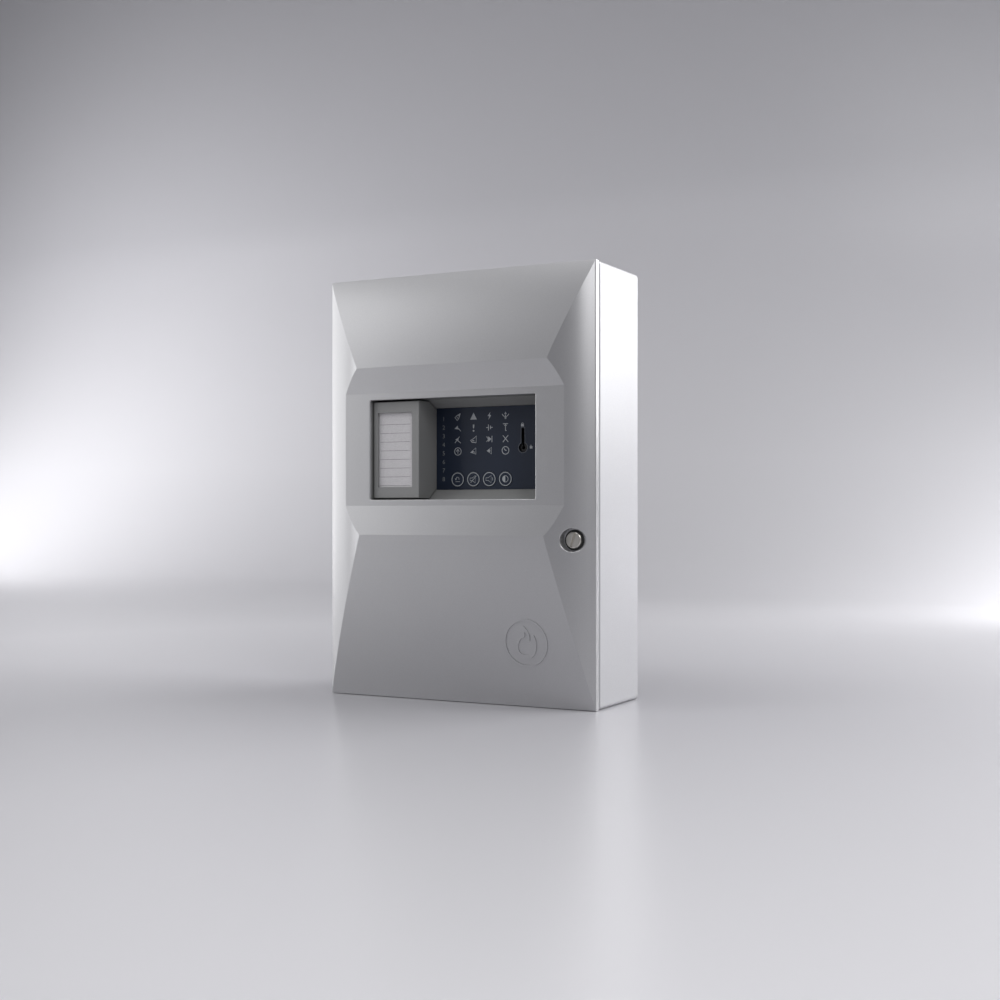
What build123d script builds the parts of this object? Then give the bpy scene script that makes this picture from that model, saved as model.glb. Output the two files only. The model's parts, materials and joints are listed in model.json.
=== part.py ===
"""Fire alarm control panel: wall cabinet, hinged cover, display unit, electronics and batteries.

Millimetres. The origin is the centre of the back face, on the wall plane.
+X is to the right and +Z up for somebody facing the panel, and the front faces -Y.
A "depth" is a distance in front of the wall, so the plane at depth d is y = -d.
"""
from build123d import *
from math import radians, tan
import os

os.makedirs("parts", exist_ok=True)

# ---------------------------------------------------------------- driving dimensions
WIDTH = 245.0
HEIGHT = 350.0

# Back box, folded from sheet steel
SHEET = 1.5
BOX_DEPTH = 77.5
BOX_CORNER = 3.0            # corner radius seen from the front
BOX_BEND = 1.6              # outer radius of the front bend
LIP = 8.0                   # width of the return lip round the front
FIXING_X = 200.0            # spacing of the wall fixing holes
FIXING_Z = 310.0
FIXING_DIAMETER = 5.5
KNOCKOUT_DIAMETER = 20.5
KNOCKOUT_PITCH = 36.0
KNOCKOUT_COUNT = 6
KNOCKOUT_GROOVE = (0.6, 0.9)    # width and depth of the part-cut ring

# Door cover
DOOR_GAP = 2.0              # shadow gap between the box and the cover
DOOR_RIM = 5.5              # straight rim of the cover
DOOR_WALL = 2.5
DOOR_BACK = BOX_DEPTH + DOOR_GAP
RIM_DEPTH = DOOR_BACK + DOOR_RIM
DOOR_HALF_WIDTH = WIDTH / 2
DOOR_HALF_HEIGHT = HEIGHT / 2 - 0.5      # the box, not the cover, stands on the floor
CORNER_ROUNDING = 1.6       # front edges of the side rims

# Plan of the cover: a side bevel is an arc that flattens towards the middle
BEVEL_RADIUS = 88.0
BEVEL_WIDTH = 36.0
BEVEL_RISE = 15.4
PLATEAU_RUN = 9.0           # straight run from each bevel up to the plateau
PLATEAU = 17.0              # height of the plan outline over the rim plane
HINGE_ROUNDING = 2.0        # rear edge on the hinge side, so that it clears the box

# Side view of the cover: two crowned fields with a flat valley between them
VALLEY_RISE = 11.5          # height of the valley over the rim plane
VALLEY_TOP = 77.4
VALLEY_BOTTOM = -15.5
UPPER_RIDGE = (98.7, 15.2)  # z of the ridge, and its height over the rim plane
LOWER_RIDGE = (-39.5, 15.7)
UPPER_CROWN = 345.0         # radii of the crowned fields
LOWER_CROWN = 950.0

# Plain emblem raised on the lower field
EMBLEM_X = 66.2
EMBLEM_Z = -123.6
EMBLEM_DIAMETER = 38.0
EMBLEM_LINE = 1.5
EMBLEM_RELIEF = 0.8

# Window in the cover, and the display unit behind it
WINDOW_WIDTH = 152.4
WINDOW_HEIGHT = 82.3
WINDOW_X = -0.4
WINDOW_Z = 30.65
WINDOW_ROUNDING = 0.8       # front edges of the window
TRAY_WALL = 2.0
TRAY_FRONT = 93.4           # depth of the tray's front rim
TRAY_KNEE = 75.0            # the top and bottom walls slope in behind this depth
OVERLAY_DEPTH = 63.3        # depth of the fascia's front
OVERLAY_THICKNESS = 0.5
FLOOR_THICKNESS = 2.0
FLOOR_HEIGHT = 68.0
FLOOR_Z = 31.9
FLOOR_FRONT = OVERLAY_DEPTH - OVERLAY_THICKNESS
FLOOR_BACK = FLOOR_FRONT - FLOOR_THICKNESS
TRAY_WIDTH = 155.2
TRAY_HEIGHT = WINDOW_HEIGHT + 1.0

# Zone label holder
HOLDER_LEFT = -75.9
HOLDER_RIGHT = -32.3
HOLDER_DEPTH = 92.0
HOLDER_GAP = 1.8            # gap above and below the holder
HOLDER_WALL = 2.0
HOLDER_FRONT_WALL = 5.0
HOLDER_ROUNDING = 0.6
LABEL_WIDTH = 33.0
LABEL_HEIGHT = 61.5
LABEL_X = -55.4
LABEL_RECESS = 2.8
LABEL_THICKNESS = 0.4
LABEL_COVER = 0.5           # thickness of the clear cover over the label

# Fascia layout
COLUMN_X = 10.45            # middle of the four icon columns
COLUMN_PITCH = 14.83
ICON_TOP_Z = 58.2
ICON_PITCH = 9.55
ZONE_X = -25.3
ZONE_TOP_Z = 56.7
ZONE_PITCH = 7.16
KEY_Z = 6.3
KEY_DIAMETER = 12.2
KEY_TRAVEL = 0.6
KEY_PROUD = 0.4             # how far a key stands in front of the overlay
KEY_FLANGE = (1.8, 0.8)     # extra diameter and thickness of a key's flange
KEY_STEM = (3.0, 0.2)       # diameter and length of the nib that meets the switch
SWITCH_X = 48.6             # key switch for the access level
SWITCH_Z = 31.5
KEYWAY_TOP = 47.3
KEYWAY_WIDTH = 2.6
ROTOR_DIAMETER = 7.0
SWITCH_BACK = 45.0

# Hinge: two pins near the left rim of the cover
HINGE_X = -118.5
HINGE_DEPTH = 82.2
HINGE_Z = 140.0             # height of each tongue over and under the middle
PIN_DIAMETER = 2.5
TONGUE = 2.5                # thickness of the hinge tongue
TONGUE_HEAD = 2.2           # radius round the pin
TONGUE_LEG = (-112.0, -107.5)
TONGUE_FOOT = (58.0, 70.0)  # depths of the foot inside the box
KNUCKLE = 9.0               # length of each knuckle
KNUCKLE_GAP = 1.6           # from the tongue's middle to the knuckle
KNUCKLE_REACH = 3.0
HINGE_PLATE = 12.0          # half the height of each bracket's foot plate, past the tongue

# Cam lock
LOCK_X = 106.5
LOCK_Z = -42.5
LOCK_SEAT = 3.8             # height of the lock's seat over the rim plane
LOCK_POCKET_DIAMETER = 18.2
POCKET_ROUNDING = 0.5
LOCK_BOSS_DIAMETER = 22.5
LOCK_RING_DIAMETER = 16.2
LOCK_HEAD_DIAMETER = 12.8
LOCK_BARREL_DIAMETER = 12.0
LOCK_BORE_DIAMETER = 8.0
SLOT_WIDTH = 1.9
SLOT_TILT = 18.0            # the coin slot leans to the right of upright
CAM_REACH = 13.2
CAM_WIDTH = 8.0
CAM_THICKNESS = 2.0
CAM_SQUARE = 5.0            # square end of the plug that drives the cam
CAM_SCREW_DIAMETER = 3.0
CAM_SCREW_LENGTH = 6.0
CAM_SCREW_HEAD = (7.0, 2.5)     # across flats, and height
RING_THICKNESS = 0.8
HEAD_THICKNESS = 2.5
SLOT_DEPTH = 1.8
LOCK_NUT = (15.0, 3.0)      # across flats, and height

# Electronics
BOARD_THICKNESS = 1.6
MAIN_BOARD_WIDTH = 190.0
MAIN_BOARD_BOTTOM = -22.0
MAIN_BOARD_TOP = 150.0
MAIN_BOARD_BACK = 11.5      # depth of the board's rear face
MAIN_BOARD_FRONT = MAIN_BOARD_BACK + BOARD_THICKNESS
PILLAR_X = 87.0
PILLAR_Z = (WINDOW_Z - 30.0, WINDOW_Z + 30.0)
UPPER_STANDOFF_Z = 141.0
EAR_BACK = 62.0
EAR_THICKNESS = 2.5
EAR_HALF = 6.0              # half the height of an ear, and its reach past the pillar
POST_DIAMETER = 5.5
DISPLAY_BOARD_BACK = 53.0
DISPLAY_BOARD_FRONT = DISPLAY_BOARD_BACK + BOARD_THICKNESS
DISPLAY_BOARD_LEFT = -31.0
DISPLAY_BOARD_RIGHT = 73.0
DISPLAY_BOARD_HALF_HEIGHT = 33.0
LED_DIAMETER = 3.0

# Batteries: two 12 V blocks, one above the other
BATTERY_WIDTH = 134.0
BATTERY_DEPTH = 67.0
BATTERY_HEIGHT = 61.0
BATTERY_BACK = 3.2
TAB_X = 55.0
TAB_DEPTH = 60.0
TAB_SIZE = (4.8, 0.8, 6.3)
SHELF_Z = -104.5            # underside of the upper battery's shelf

# Brackets and their fixings on the back wall
BRACKET = 1.5               # sheet thickness
STUD_DIAMETER = 3.0
STUD_LENGTH = 5.5
STUD_HOLE = 3.4
NUT_FLATS = 5.5
NUT_HEIGHT = 2.4
CLAMP_HALF_WIDTH = 67.4     # inside of the battery clamps
CLAMP_FOOT = 10.0
CLAMP_HALF_HEIGHT = 5.0
CLAMP_STUDS = [(x, z) for x in (-74.0, 74.0) for z in (-143.0, -72.5)]
TRANSFORMER_STUDS = [(x, z) for x in (71.1, 117.9) for z in (-117.0, -95.0)]

# Transformer
CORE_X = 94.5
CORE_Z = -106.0
CORE_WIDTH = 38.0
CORE_HEIGHT = 44.0
CORE_BACK = 12.0
CORE_FRONT = 30.0

WIRE_DIAMETER = 2.4
EPS = 0.1                   # small clearance between pieces that only touch

# Main board layout, as x and z of each piece
TERMINAL_X = [-64.0, -32.0, 0.0, 32.0, 64.0]
TERMINAL_Z = 143.5
RELAY_X = [-76.0, -53.0, -30.0, -7.0]
RELAY_Z = 119.0
FUSE_X = [16.0, 30.0, 44.0]
FUSE_Z = 117.0
BUZZER = (72.0, 116.0)
CONTROLLER = (-30.0, 70.0)
LOGIC_CHIPS = [(10.0, 90.0), (10.0, 70.0), (40.0, 90.0), (-62.0, 92.0)]
CAPACITOR_X = [46.0, 60.0, 74.0]
CAPACITOR_Z = 28.0
HEAT_SINK = (-46.0, 12.0)
HEADER_X = (-60.0, 70.0)
HEADER_Z = -15.0
HEADER_HEIGHT = 10.0
RIBBON_X = 22.0
RIBBON_WIDTH = 26.0
RIBBON_TOP = 34.0
RIBBON_BOTTOM = -6.0

# Power input, left of the batteries
MAINS_TERMINAL = (-97.0, -82.0)
MAINS_FRONT = 20.0
MAINS_WAYS = [(MAINS_TERMINAL[0] + way, MAINS_TERMINAL[1] - 6) for way in (-10, 0, 10)]
EARTH_STUD = (-100.0, -138.0)
EARTH_DIAMETER = 5.0
EARTH_LENGTH = 12.0
WIRE_LANE = 71.2            # the battery leads run beside the clamps

COLUMNS = [COLUMN_X + COLUMN_PITCH * (i - 1.5) for i in range(4)]
ROWS = [ICON_TOP_Z - ICON_PITCH * i for i in range(4)]
ZONES = [ZONE_TOP_Z - ZONE_PITCH * i for i in range(8)]
LAMPS = [(ZONE_X, z) for z in ZONES] + [(x, z) for z in ROWS for x in COLUMNS]
STANDOFFS = [(x, z) for x in (-PILLAR_X, PILLAR_X) for z in (*PILLAR_Z, UPPER_STANDOFF_Z)]
BOARD_POSTS = [(x, z) for x in (DISPLAY_BOARD_LEFT + 3, DISPLAY_BOARD_RIGHT - 3)
               for z in (FLOOR_Z - DISPLAY_BOARD_HALF_HEIGHT + 3,
                         FLOOR_Z + DISPLAY_BOARD_HALF_HEIGHT - 3)]
KEY_NAMES = ("reset_key", "silence_key", "sounder_key", "lamp_test_key")


# ---------------------------------------------------------------- helpers
def front(depth):
    """Plane parallel to the wall; sketches on it are seen from the front and extrude towards it."""
    return Plane.XZ.offset(depth)


def block(x, depth, z, mode=Mode.ADD):
    """Rectangular block between (low, high) limits of x, of depth and of z."""
    centre = ((x[0] + x[1]) / 2, -(depth[0] + depth[1]) / 2, (z[0] + z[1]) / 2)
    with Locations(centre):
        Box(x[1] - x[0], depth[1] - depth[0], z[1] - z[0], mode=mode)


def rod(x, z, diameter, depth, mode=Mode.ADD):
    """Cylinder square to the wall between two depths."""
    with Locations(Location((x, -(depth[0] + depth[1]) / 2, z), (90, 0, 0))):
        Cylinder(diameter / 2, depth[1] - depth[0], mode=mode)


def hexagon(x, z, across_flats, depth, mode=Mode.ADD):
    """Hexagonal bar square to the wall between two depths."""
    with BuildSketch(front(depth[0])) as section:
        with Locations((x, z)):
            RegularPolygon(across_flats / 2, 6, major_radius=False, rotation=30)
    extrude(to_extrude=section.sketch, amount=depth[1] - depth[0], mode=mode)


def pan_screw(x, z, seat, head=5.6, shank=2.9, length=5.0):
    """Cross-head screw driven from the front, its head seated at the given depth."""
    rod(x, z, shank, (seat - length, seat))
    rod(x, z, head, (seat, seat + 1.8))
    for size in ((3.2, 0.7), (0.7, 3.2)):
        block((x - size[0] / 2, x + size[0] / 2), (seat + 0.9, seat + 1.8),
              (z - size[1] / 2, z + size[1] / 2), mode=Mode.SUBTRACT)


def wire(stops, diameter=WIRE_DIAMETER):
    """Round insulated wire: straight runs joined by the largest arcs that fit."""
    stops = [Vector(*stop) for stop in stops]
    radii = []
    for before, corner, after in zip(stops, stops[1:], stops[2:]):
        arriving, leaving = corner - before, after - corner
        turn = radians(arriving.get_angle(leaving))
        radii.append(0.45 * min(arriving.length, leaving.length) / tan(turn / 2))
    with BuildPart() as tube:
        with BuildLine() as route:
            FilletPolyline(*stops, radius=radii)
        with BuildSketch(Plane(origin=stops[0], z_dir=stops[1] - stops[0])):
            Circle(diameter / 2)
        sweep(path=route.wires()[0])
    return tube.part


def save(part, name):
    """Label one finished piece and write it to its own file."""
    part.label = name
    export_step(part, f"parts/{name}.step")


# ---------------------------------------------------------------- back box
def make_back_box():
    """Folded steel tray with a return lip round its open front."""
    with BuildPart() as back_box:
        with BuildSketch(front(0)):
            RectangleRounded(WIDTH, HEIGHT, BOX_CORNER)
        extrude(amount=BOX_DEPTH)
        fillet(back_box.faces().sort_by(Axis.Y)[0].edges(), radius=BOX_BEND)
        with BuildSketch(front(SHEET)):
            RectangleRounded(WIDTH - 2 * SHEET, HEIGHT - 2 * SHEET, BOX_CORNER - SHEET)
        extrude(amount=BOX_DEPTH - 2 * SHEET, mode=Mode.SUBTRACT)
        with BuildSketch(front(SHEET)):
            Rectangle(WIDTH - 2 * LIP, HEIGHT - 2 * LIP)
        extrude(amount=BOX_DEPTH, mode=Mode.SUBTRACT)
        with BuildSketch(front(0)):
            with GridLocations(FIXING_X, FIXING_Z, 2, 2):
                Circle(FIXING_DIAMETER / 2)
        extrude(amount=SHEET, mode=Mode.SUBTRACT)
        for x, z in CLAMP_STUDS + TRANSFORMER_STUDS:
            rod(x, z, STUD_DIAMETER, (SHEET / 2, SHEET + STUD_LENGTH))
        rod(*EARTH_STUD, EARTH_DIAMETER, (SHEET / 2, SHEET + EARTH_LENGTH))
        # Cable knock-outs in the top: part-cut rings that leave the disc in place
        with BuildSketch(Plane.XY.offset(HEIGHT / 2)):
            with Locations((0, -BOX_DEPTH / 2)):
                with GridLocations(KNOCKOUT_PITCH, 1, KNOCKOUT_COUNT, 1):
                    Circle(KNOCKOUT_DIAMETER / 2)
                    Circle(KNOCKOUT_DIAMETER / 2 - KNOCKOUT_GROOVE[0], mode=Mode.SUBTRACT)
        extrude(amount=-KNOCKOUT_GROOVE[1], mode=Mode.SUBTRACT)
    save(back_box.part, "back_box")


# ---------------------------------------------------------------- door cover
def door_form(inset, back):
    """Outer form of the cover, shrunk by inset, from the given depth forwards."""
    rim, half, tall = -RIM_DEPTH, DOOR_HALF_WIDTH, DOOR_HALF_HEIGHT
    shoulder = half - BEVEL_WIDTH
    flat = shoulder - PLATEAU_RUN
    upper = (rim - UPPER_RIDGE[1], UPPER_RIDGE[0])
    lower = (rim - LOWER_RIDGE[1], LOWER_RIDGE[0])
    valley = rim - VALLEY_RISE
    with BuildPart() as form:
        with BuildSketch(Plane.XY.offset(-HEIGHT)) as plan:
            with BuildLine():
                RadiusArc((half, rim), (shoulder, rim - BEVEL_RISE), BEVEL_RADIUS)
                Polyline((shoulder, rim - BEVEL_RISE), (flat, rim - PLATEAU),
                         (-flat, rim - PLATEAU), (-shoulder, rim - BEVEL_RISE))
                RadiusArc((-shoulder, rim - BEVEL_RISE), (-half, rim), BEVEL_RADIUS)
                Polyline((-half, rim), (-half, -back), (half, -back), (half, rim))
            make_face()
            corners = plan.vertices().filter_by_position(Axis.Y, rim - EPS, rim + EPS)
            fillet(corners, radius=CORNER_ROUNDING)
            if inset:
                offset(amount=-inset, kind=Kind.INTERSECTION)
        extrude(amount=2 * HEIGHT)
        with BuildSketch(Plane.YZ.offset(-WIDTH)):
            with BuildLine():
                RadiusArc((rim, tall), upper, -UPPER_CROWN)
                Polyline(upper, (valley, VALLEY_TOP), (valley, VALLEY_BOTTOM), lower)
                RadiusArc(lower, (rim, -tall), -LOWER_CROWN)
                Polyline((rim, -tall), (-back, -tall), (-back, tall), (rim, tall))
            make_face()
            if inset:
                offset(amount=-inset, kind=Kind.INTERSECTION)
        extrude(amount=2 * WIDTH, mode=Mode.INTERSECT)
    return form.part


def flame(size):
    """Outline of a flame with a tall tongue and a short one to its right, drawn to a given size."""
    def at(x, z):
        return EMBLEM_X + x * size, EMBLEM_Z + z * size

    base, tip, fork, side_tip = at(0, -12.5), at(-1, 13.5), at(4, 2), at(7.5, 6.5)
    with BuildLine() as outline:
        Spline(base, at(-9, -5), at(-4.5, 4.5), tip, tangents=((-1, 0), (-0.2, 1)))
        Spline(tip, at(3.2, 7.5), fork, tangents=((0.9, -1), (0, -1)))
        Spline(fork, side_tip, tangents=((0.9, 0.4), (0.2, 1)))
        Spline(side_tip, at(9, -4.5), base, tangents=((0.5, -1), (-1, 0)))
    return outline.line


def emblem():
    """Plain ring round the outline of a flame, a little proud of the lower crowned field."""
    with BuildPart() as relief:
        with BuildSketch(front(DOOR_BACK)):
            with Locations((EMBLEM_X, EMBLEM_Z)):
                Circle(EMBLEM_DIAMETER / 2)
                Circle(EMBLEM_DIAMETER / 2 - EMBLEM_LINE, mode=Mode.SUBTRACT)
            make_face(flame(1.0).edges())
            make_face(flame(0.74).edges(), mode=Mode.SUBTRACT)
        extrude(amount=DOOR_BACK)
        add(door_form(-EMBLEM_RELIEF, DOOR_BACK), mode=Mode.INTERSECT)
    return relief.part


def door_hollow():
    """Inside of the cover, without the solid bosses for the lock and the hinge knuckles."""
    seat = RIM_DEPTH + LOCK_SEAT
    with BuildPart() as hollow:
        add(door_form(DOOR_WALL, DOOR_BACK - 10))
        rod(LOCK_X, LOCK_Z, LOCK_BOSS_DIAMETER, (seat - DOOR_WALL, seat + 20), mode=Mode.SUBTRACT)
        for side in (-1, 1):
            for end in (-1, 1):
                middle = side * HINGE_Z + end * (KNUCKLE_GAP + KNUCKLE / 2)
                block((-DOOR_HALF_WIDTH, HINGE_X + KNUCKLE_REACH), (DOOR_BACK, RIM_DEPTH + 10),
                      (middle - KNUCKLE / 2, middle + KNUCKLE / 2), mode=Mode.SUBTRACT)
    return hollow.part


def make_door_cover():
    """Moulded cover: bevelled sides, crowned fields, window, lock pocket and hinge knuckles."""
    seat = RIM_DEPTH + LOCK_SEAT
    with BuildPart() as door_cover:
        add(door_form(0, DOOR_BACK))
        left_rear = door_cover.edges().filter_by(Axis.Z).sort_by(Axis.X)[0:2].sort_by(Axis.Y)[-1]
        fillet(left_rear, radius=HINGE_ROUNDING)
        add(emblem())
        add(door_hollow(), mode=Mode.SUBTRACT)
        with BuildSketch(front(DOOR_BACK)):
            with Locations((WINDOW_X, WINDOW_Z)):
                RectangleRounded(WINDOW_WIDTH, WINDOW_HEIGHT, 1.0)
        extrude(amount=DOOR_BACK, mode=Mode.SUBTRACT)
        valley = -RIM_DEPTH - VALLEY_RISE
        cut_edges = door_cover.edges().filter_by_position(Axis.Y, valley - EPS, valley + EPS)
        cut_edges = cut_edges.filter_by_position(Axis.X, WINDOW_X - WINDOW_WIDTH / 2,
                                                 WINDOW_X + WINDOW_WIDTH / 2)
        fillet(cut_edges.filter_by_position(Axis.Z, WINDOW_Z - WINDOW_HEIGHT / 2,
                                            WINDOW_Z + WINDOW_HEIGHT / 2), radius=WINDOW_ROUNDING)
        rod(LOCK_X, LOCK_Z, LOCK_POCKET_DIAMETER, (seat, seat + 20), mode=Mode.SUBTRACT)
        pocket_edges = door_cover.edges().filter_by(GeomType.BSPLINE)
        pocket_edge = pocket_edges.sort_by_distance((LOCK_X, -RIM_DEPTH - 20, LOCK_Z))[0]
        fillet(pocket_edge, radius=POCKET_ROUNDING)
        rod(LOCK_X, LOCK_Z, LOCK_BARREL_DIAMETER + 2 * EPS, (DOOR_BACK, seat), mode=Mode.SUBTRACT)
        for side in (-1, 1):
            with Locations((HINGE_X, -HINGE_DEPTH, side * HINGE_Z)):
                Cylinder(TONGUE_HEAD + 0.4, 2 * KNUCKLE_GAP, mode=Mode.SUBTRACT)
                Cylinder(PIN_DIAMETER / 2 + 0.05, 2 * (KNUCKLE_GAP + KNUCKLE), mode=Mode.SUBTRACT)
            # Notch in the rim that the bracket's tongue swings into as the cover opens
            block((-DOOR_HALF_WIDTH, HINGE_X), (DOOR_BACK, HINGE_DEPTH),
                  (side * HINGE_Z - KNUCKLE_GAP, side * HINGE_Z + KNUCKLE_GAP), mode=Mode.SUBTRACT)
    save(door_cover.part, "door_cover")


# ---------------------------------------------------------------- hinge
def make_hinge():
    """Goose-necked brackets fixed inside the box, with the pins that the cover turns on."""
    near, far = SHEET - WIDTH / 2, TONGUE_LEG[1]
    with BuildPart() as hinge_brackets:
        for side in (-1, 1):
            low = side * HINGE_Z - TONGUE / 2
            with BuildSketch(Plane.XY.offset(low)):
                with Locations((HINGE_X, -HINGE_DEPTH)):
                    Circle(TONGUE_HEAD)
                with BuildLine():
                    Polyline((HINGE_X, -HINGE_DEPTH - TONGUE_HEAD), (far, -HINGE_DEPTH - TONGUE_HEAD),
                             (far, -TONGUE_FOOT[0]), (near, -TONGUE_FOOT[0]),
                             (near, -TONGUE_FOOT[1]), (TONGUE_LEG[0], -TONGUE_FOOT[1]),
                             (TONGUE_LEG[0], -HINGE_DEPTH + TONGUE_HEAD),
                             (HINGE_X, -HINGE_DEPTH + TONGUE_HEAD), close=True)
                make_face()
            extrude(amount=TONGUE)
            block((near, near + TONGUE), TONGUE_FOOT, (low - HINGE_PLATE, low + HINGE_PLATE + TONGUE))
            with Locations((HINGE_X, -HINGE_DEPTH, side * HINGE_Z)):
                Cylinder(PIN_DIAMETER / 2, 2 * TONGUE, mode=Mode.SUBTRACT)
    save(hinge_brackets.part, "hinge_brackets")

    with BuildPart() as hinge_pins:
        for side in (-1, 1):
            with Locations((HINGE_X, -HINGE_DEPTH, side * HINGE_Z)):
                Cylinder(PIN_DIAMETER / 2, 2 * (KNUCKLE_GAP + KNUCKLE) - 1)
        chamfer(hinge_pins.edges().filter_by(GeomType.CIRCLE), length=0.3)
    save(hinge_pins.part, "hinge_pins")


# ---------------------------------------------------------------- cam lock
def make_lock():
    """Coin-slot cam lock: ring, barrel and nut on the cover; plug, cam and screw turn."""
    seat = RIM_DEPTH + LOCK_SEAT
    barrel_back = BOX_DEPTH - SHEET + 0.2
    cam_front = barrel_back - 0.4
    cam_back = cam_front - CAM_THICKNESS
    ring_front = seat + RING_THICKNESS
    head_back = ring_front + EPS
    head_front = head_back + HEAD_THICKNESS

    with BuildPart() as lock_ring:
        rod(LOCK_X, LOCK_Z, LOCK_RING_DIAMETER, (seat, ring_front))
        rod(LOCK_X, LOCK_Z, LOCK_BARREL_DIAMETER, (seat, ring_front), mode=Mode.SUBTRACT)
    save(lock_ring.part, "lock_ring")

    with BuildPart() as lock_barrel:
        rod(LOCK_X, LOCK_Z, LOCK_BARREL_DIAMETER, (barrel_back, ring_front))
        rod(LOCK_X, LOCK_Z, LOCK_BORE_DIAMETER, (barrel_back, ring_front), mode=Mode.SUBTRACT)
    save(lock_barrel.part, "lock_barrel")

    with BuildPart() as lock_nut:
        hexagon(LOCK_X, LOCK_Z, LOCK_NUT[0], (seat - DOOR_WALL - LOCK_NUT[1], seat - DOOR_WALL))
        rod(LOCK_X, LOCK_Z, LOCK_BARREL_DIAMETER, (DOOR_BACK, seat), mode=Mode.SUBTRACT)
    save(lock_nut.part, "lock_nut")

    with BuildPart() as lock_plug:
        rod(LOCK_X, LOCK_Z, LOCK_BORE_DIAMETER - EPS, (cam_front, head_back))
        rod(LOCK_X, LOCK_Z, LOCK_HEAD_DIAMETER, (head_back, head_front))
        fillet(lock_plug.edges().sort_by(Axis.Y)[0], radius=0.9)
        with Locations((LOCK_X, -(cam_back + cam_front) / 2, LOCK_Z)):
            Box(CAM_SQUARE, CAM_THICKNESS, CAM_SQUARE)
        with BuildSketch(front(head_front - SLOT_DEPTH)):
            with Locations((LOCK_X, LOCK_Z)):
                Rectangle(SLOT_WIDTH, LOCK_HEAD_DIAMETER * 0.85, rotation=-SLOT_TILT)
        extrude(amount=SLOT_DEPTH, mode=Mode.SUBTRACT)
        rod(LOCK_X, LOCK_Z, CAM_SCREW_DIAMETER, (cam_back, cam_back + CAM_SCREW_LENGTH),
            mode=Mode.SUBTRACT)
    save(lock_plug.part, "lock_plug")

    with BuildPart() as lock_cam:
        with BuildSketch(front(cam_back)):
            with Locations((LOCK_X, LOCK_Z + (CAM_REACH - CAM_WIDTH / 2) / 2)):
                SlotCenterToCenter(CAM_REACH - CAM_WIDTH / 2, CAM_WIDTH, rotation=90)
            with Locations((LOCK_X, LOCK_Z)):
                Rectangle(CAM_SQUARE, CAM_SQUARE, mode=Mode.SUBTRACT)
        extrude(amount=CAM_THICKNESS)
    save(lock_cam.part, "lock_cam")

    with BuildPart() as cam_screw:
        rod(LOCK_X, LOCK_Z, CAM_SCREW_DIAMETER, (cam_back, cam_back + CAM_SCREW_LENGTH))
        hexagon(LOCK_X, LOCK_Z, CAM_SCREW_HEAD[0], (cam_back - CAM_SCREW_HEAD[1], cam_back))
    save(cam_screw.part, "cam_screw")


# ---------------------------------------------------------------- display unit
def make_display_tray():
    """Deep grey bezel: straight sides, then top and bottom walls that slope in to the floor."""
    outer_top = WINDOW_Z + TRAY_HEIGHT / 2
    outer_bottom = WINDOW_Z - TRAY_HEIGHT / 2
    floor_top = FLOOR_Z + FLOOR_HEIGHT / 2
    floor_bottom = FLOOR_Z - FLOOR_HEIGHT / 2
    half, wall = TRAY_WIDTH / 2, TRAY_WALL
    with BuildPart() as display_tray:
        with BuildSketch(Plane.YZ.offset(-half - wall)):
            with BuildLine():
                Polyline((-TRAY_FRONT, outer_top + wall), (-TRAY_KNEE, outer_top + wall),
                         (-FLOOR_BACK, floor_top + wall), (-FLOOR_BACK, floor_bottom - wall),
                         (-TRAY_KNEE, outer_bottom - wall), (-TRAY_FRONT, outer_bottom - wall),
                         close=True)
            make_face()
        extrude(amount=TRAY_WIDTH + 2 * wall)
        with BuildSketch(Plane.YZ.offset(-half)):
            with BuildLine():
                Polyline((-TRAY_FRONT, outer_top), (-TRAY_KNEE, outer_top),
                         (-FLOOR_FRONT, floor_top), (-FLOOR_FRONT, floor_bottom),
                         (-TRAY_KNEE, outer_bottom), (-TRAY_FRONT, outer_bottom), close=True)
            make_face()
        extrude(amount=TRAY_WIDTH, mode=Mode.SUBTRACT)
        # Ears for the four pillars
        for x in (-PILLAR_X, PILLAR_X):
            reach = sorted((x * (half + wall) / PILLAR_X, x * (1 + EAR_HALF / PILLAR_X)))
            for z in PILLAR_Z:
                block(reach, (EAR_BACK, EAR_BACK + EAR_THICKNESS), (z - EAR_HALF, z + EAR_HALF))
                rod(x, z, 3.2, (EAR_BACK, EAR_BACK + EAR_THICKNESS), mode=Mode.SUBTRACT)
        # Posts for the display board
        for x, z in BOARD_POSTS:
            rod(x, z, POST_DIAMETER, (DISPLAY_BOARD_FRONT, FLOOR_BACK))
            rod(x, z, 2.5, (DISPLAY_BOARD_FRONT, FLOOR_BACK - 1), mode=Mode.SUBTRACT)
        # Openings in the floor for keys, lamps and the key switch
        for x in COLUMNS:
            rod(x, KEY_Z, KEY_DIAMETER + 0.6, (FLOOR_BACK, FLOOR_FRONT), mode=Mode.SUBTRACT)
        for x, z in LAMPS:
            rod(x, z, LED_DIAMETER + 0.6, (FLOOR_BACK, FLOOR_FRONT), mode=Mode.SUBTRACT)
        block(*switch_block(EPS), mode=Mode.SUBTRACT)
    save(display_tray.part, "display_tray")


def switch_block(clearance):
    """Limits of the key switch's body, with some clearance all round."""
    x = (SWITCH_X - 5.2 - clearance, SWITCH_X + 5.2 + clearance)
    z = (SWITCH_Z - 5.2 - clearance, KEYWAY_TOP + 2.2 + clearance)
    return x, (SWITCH_BACK, FLOOR_FRONT), z


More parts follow.
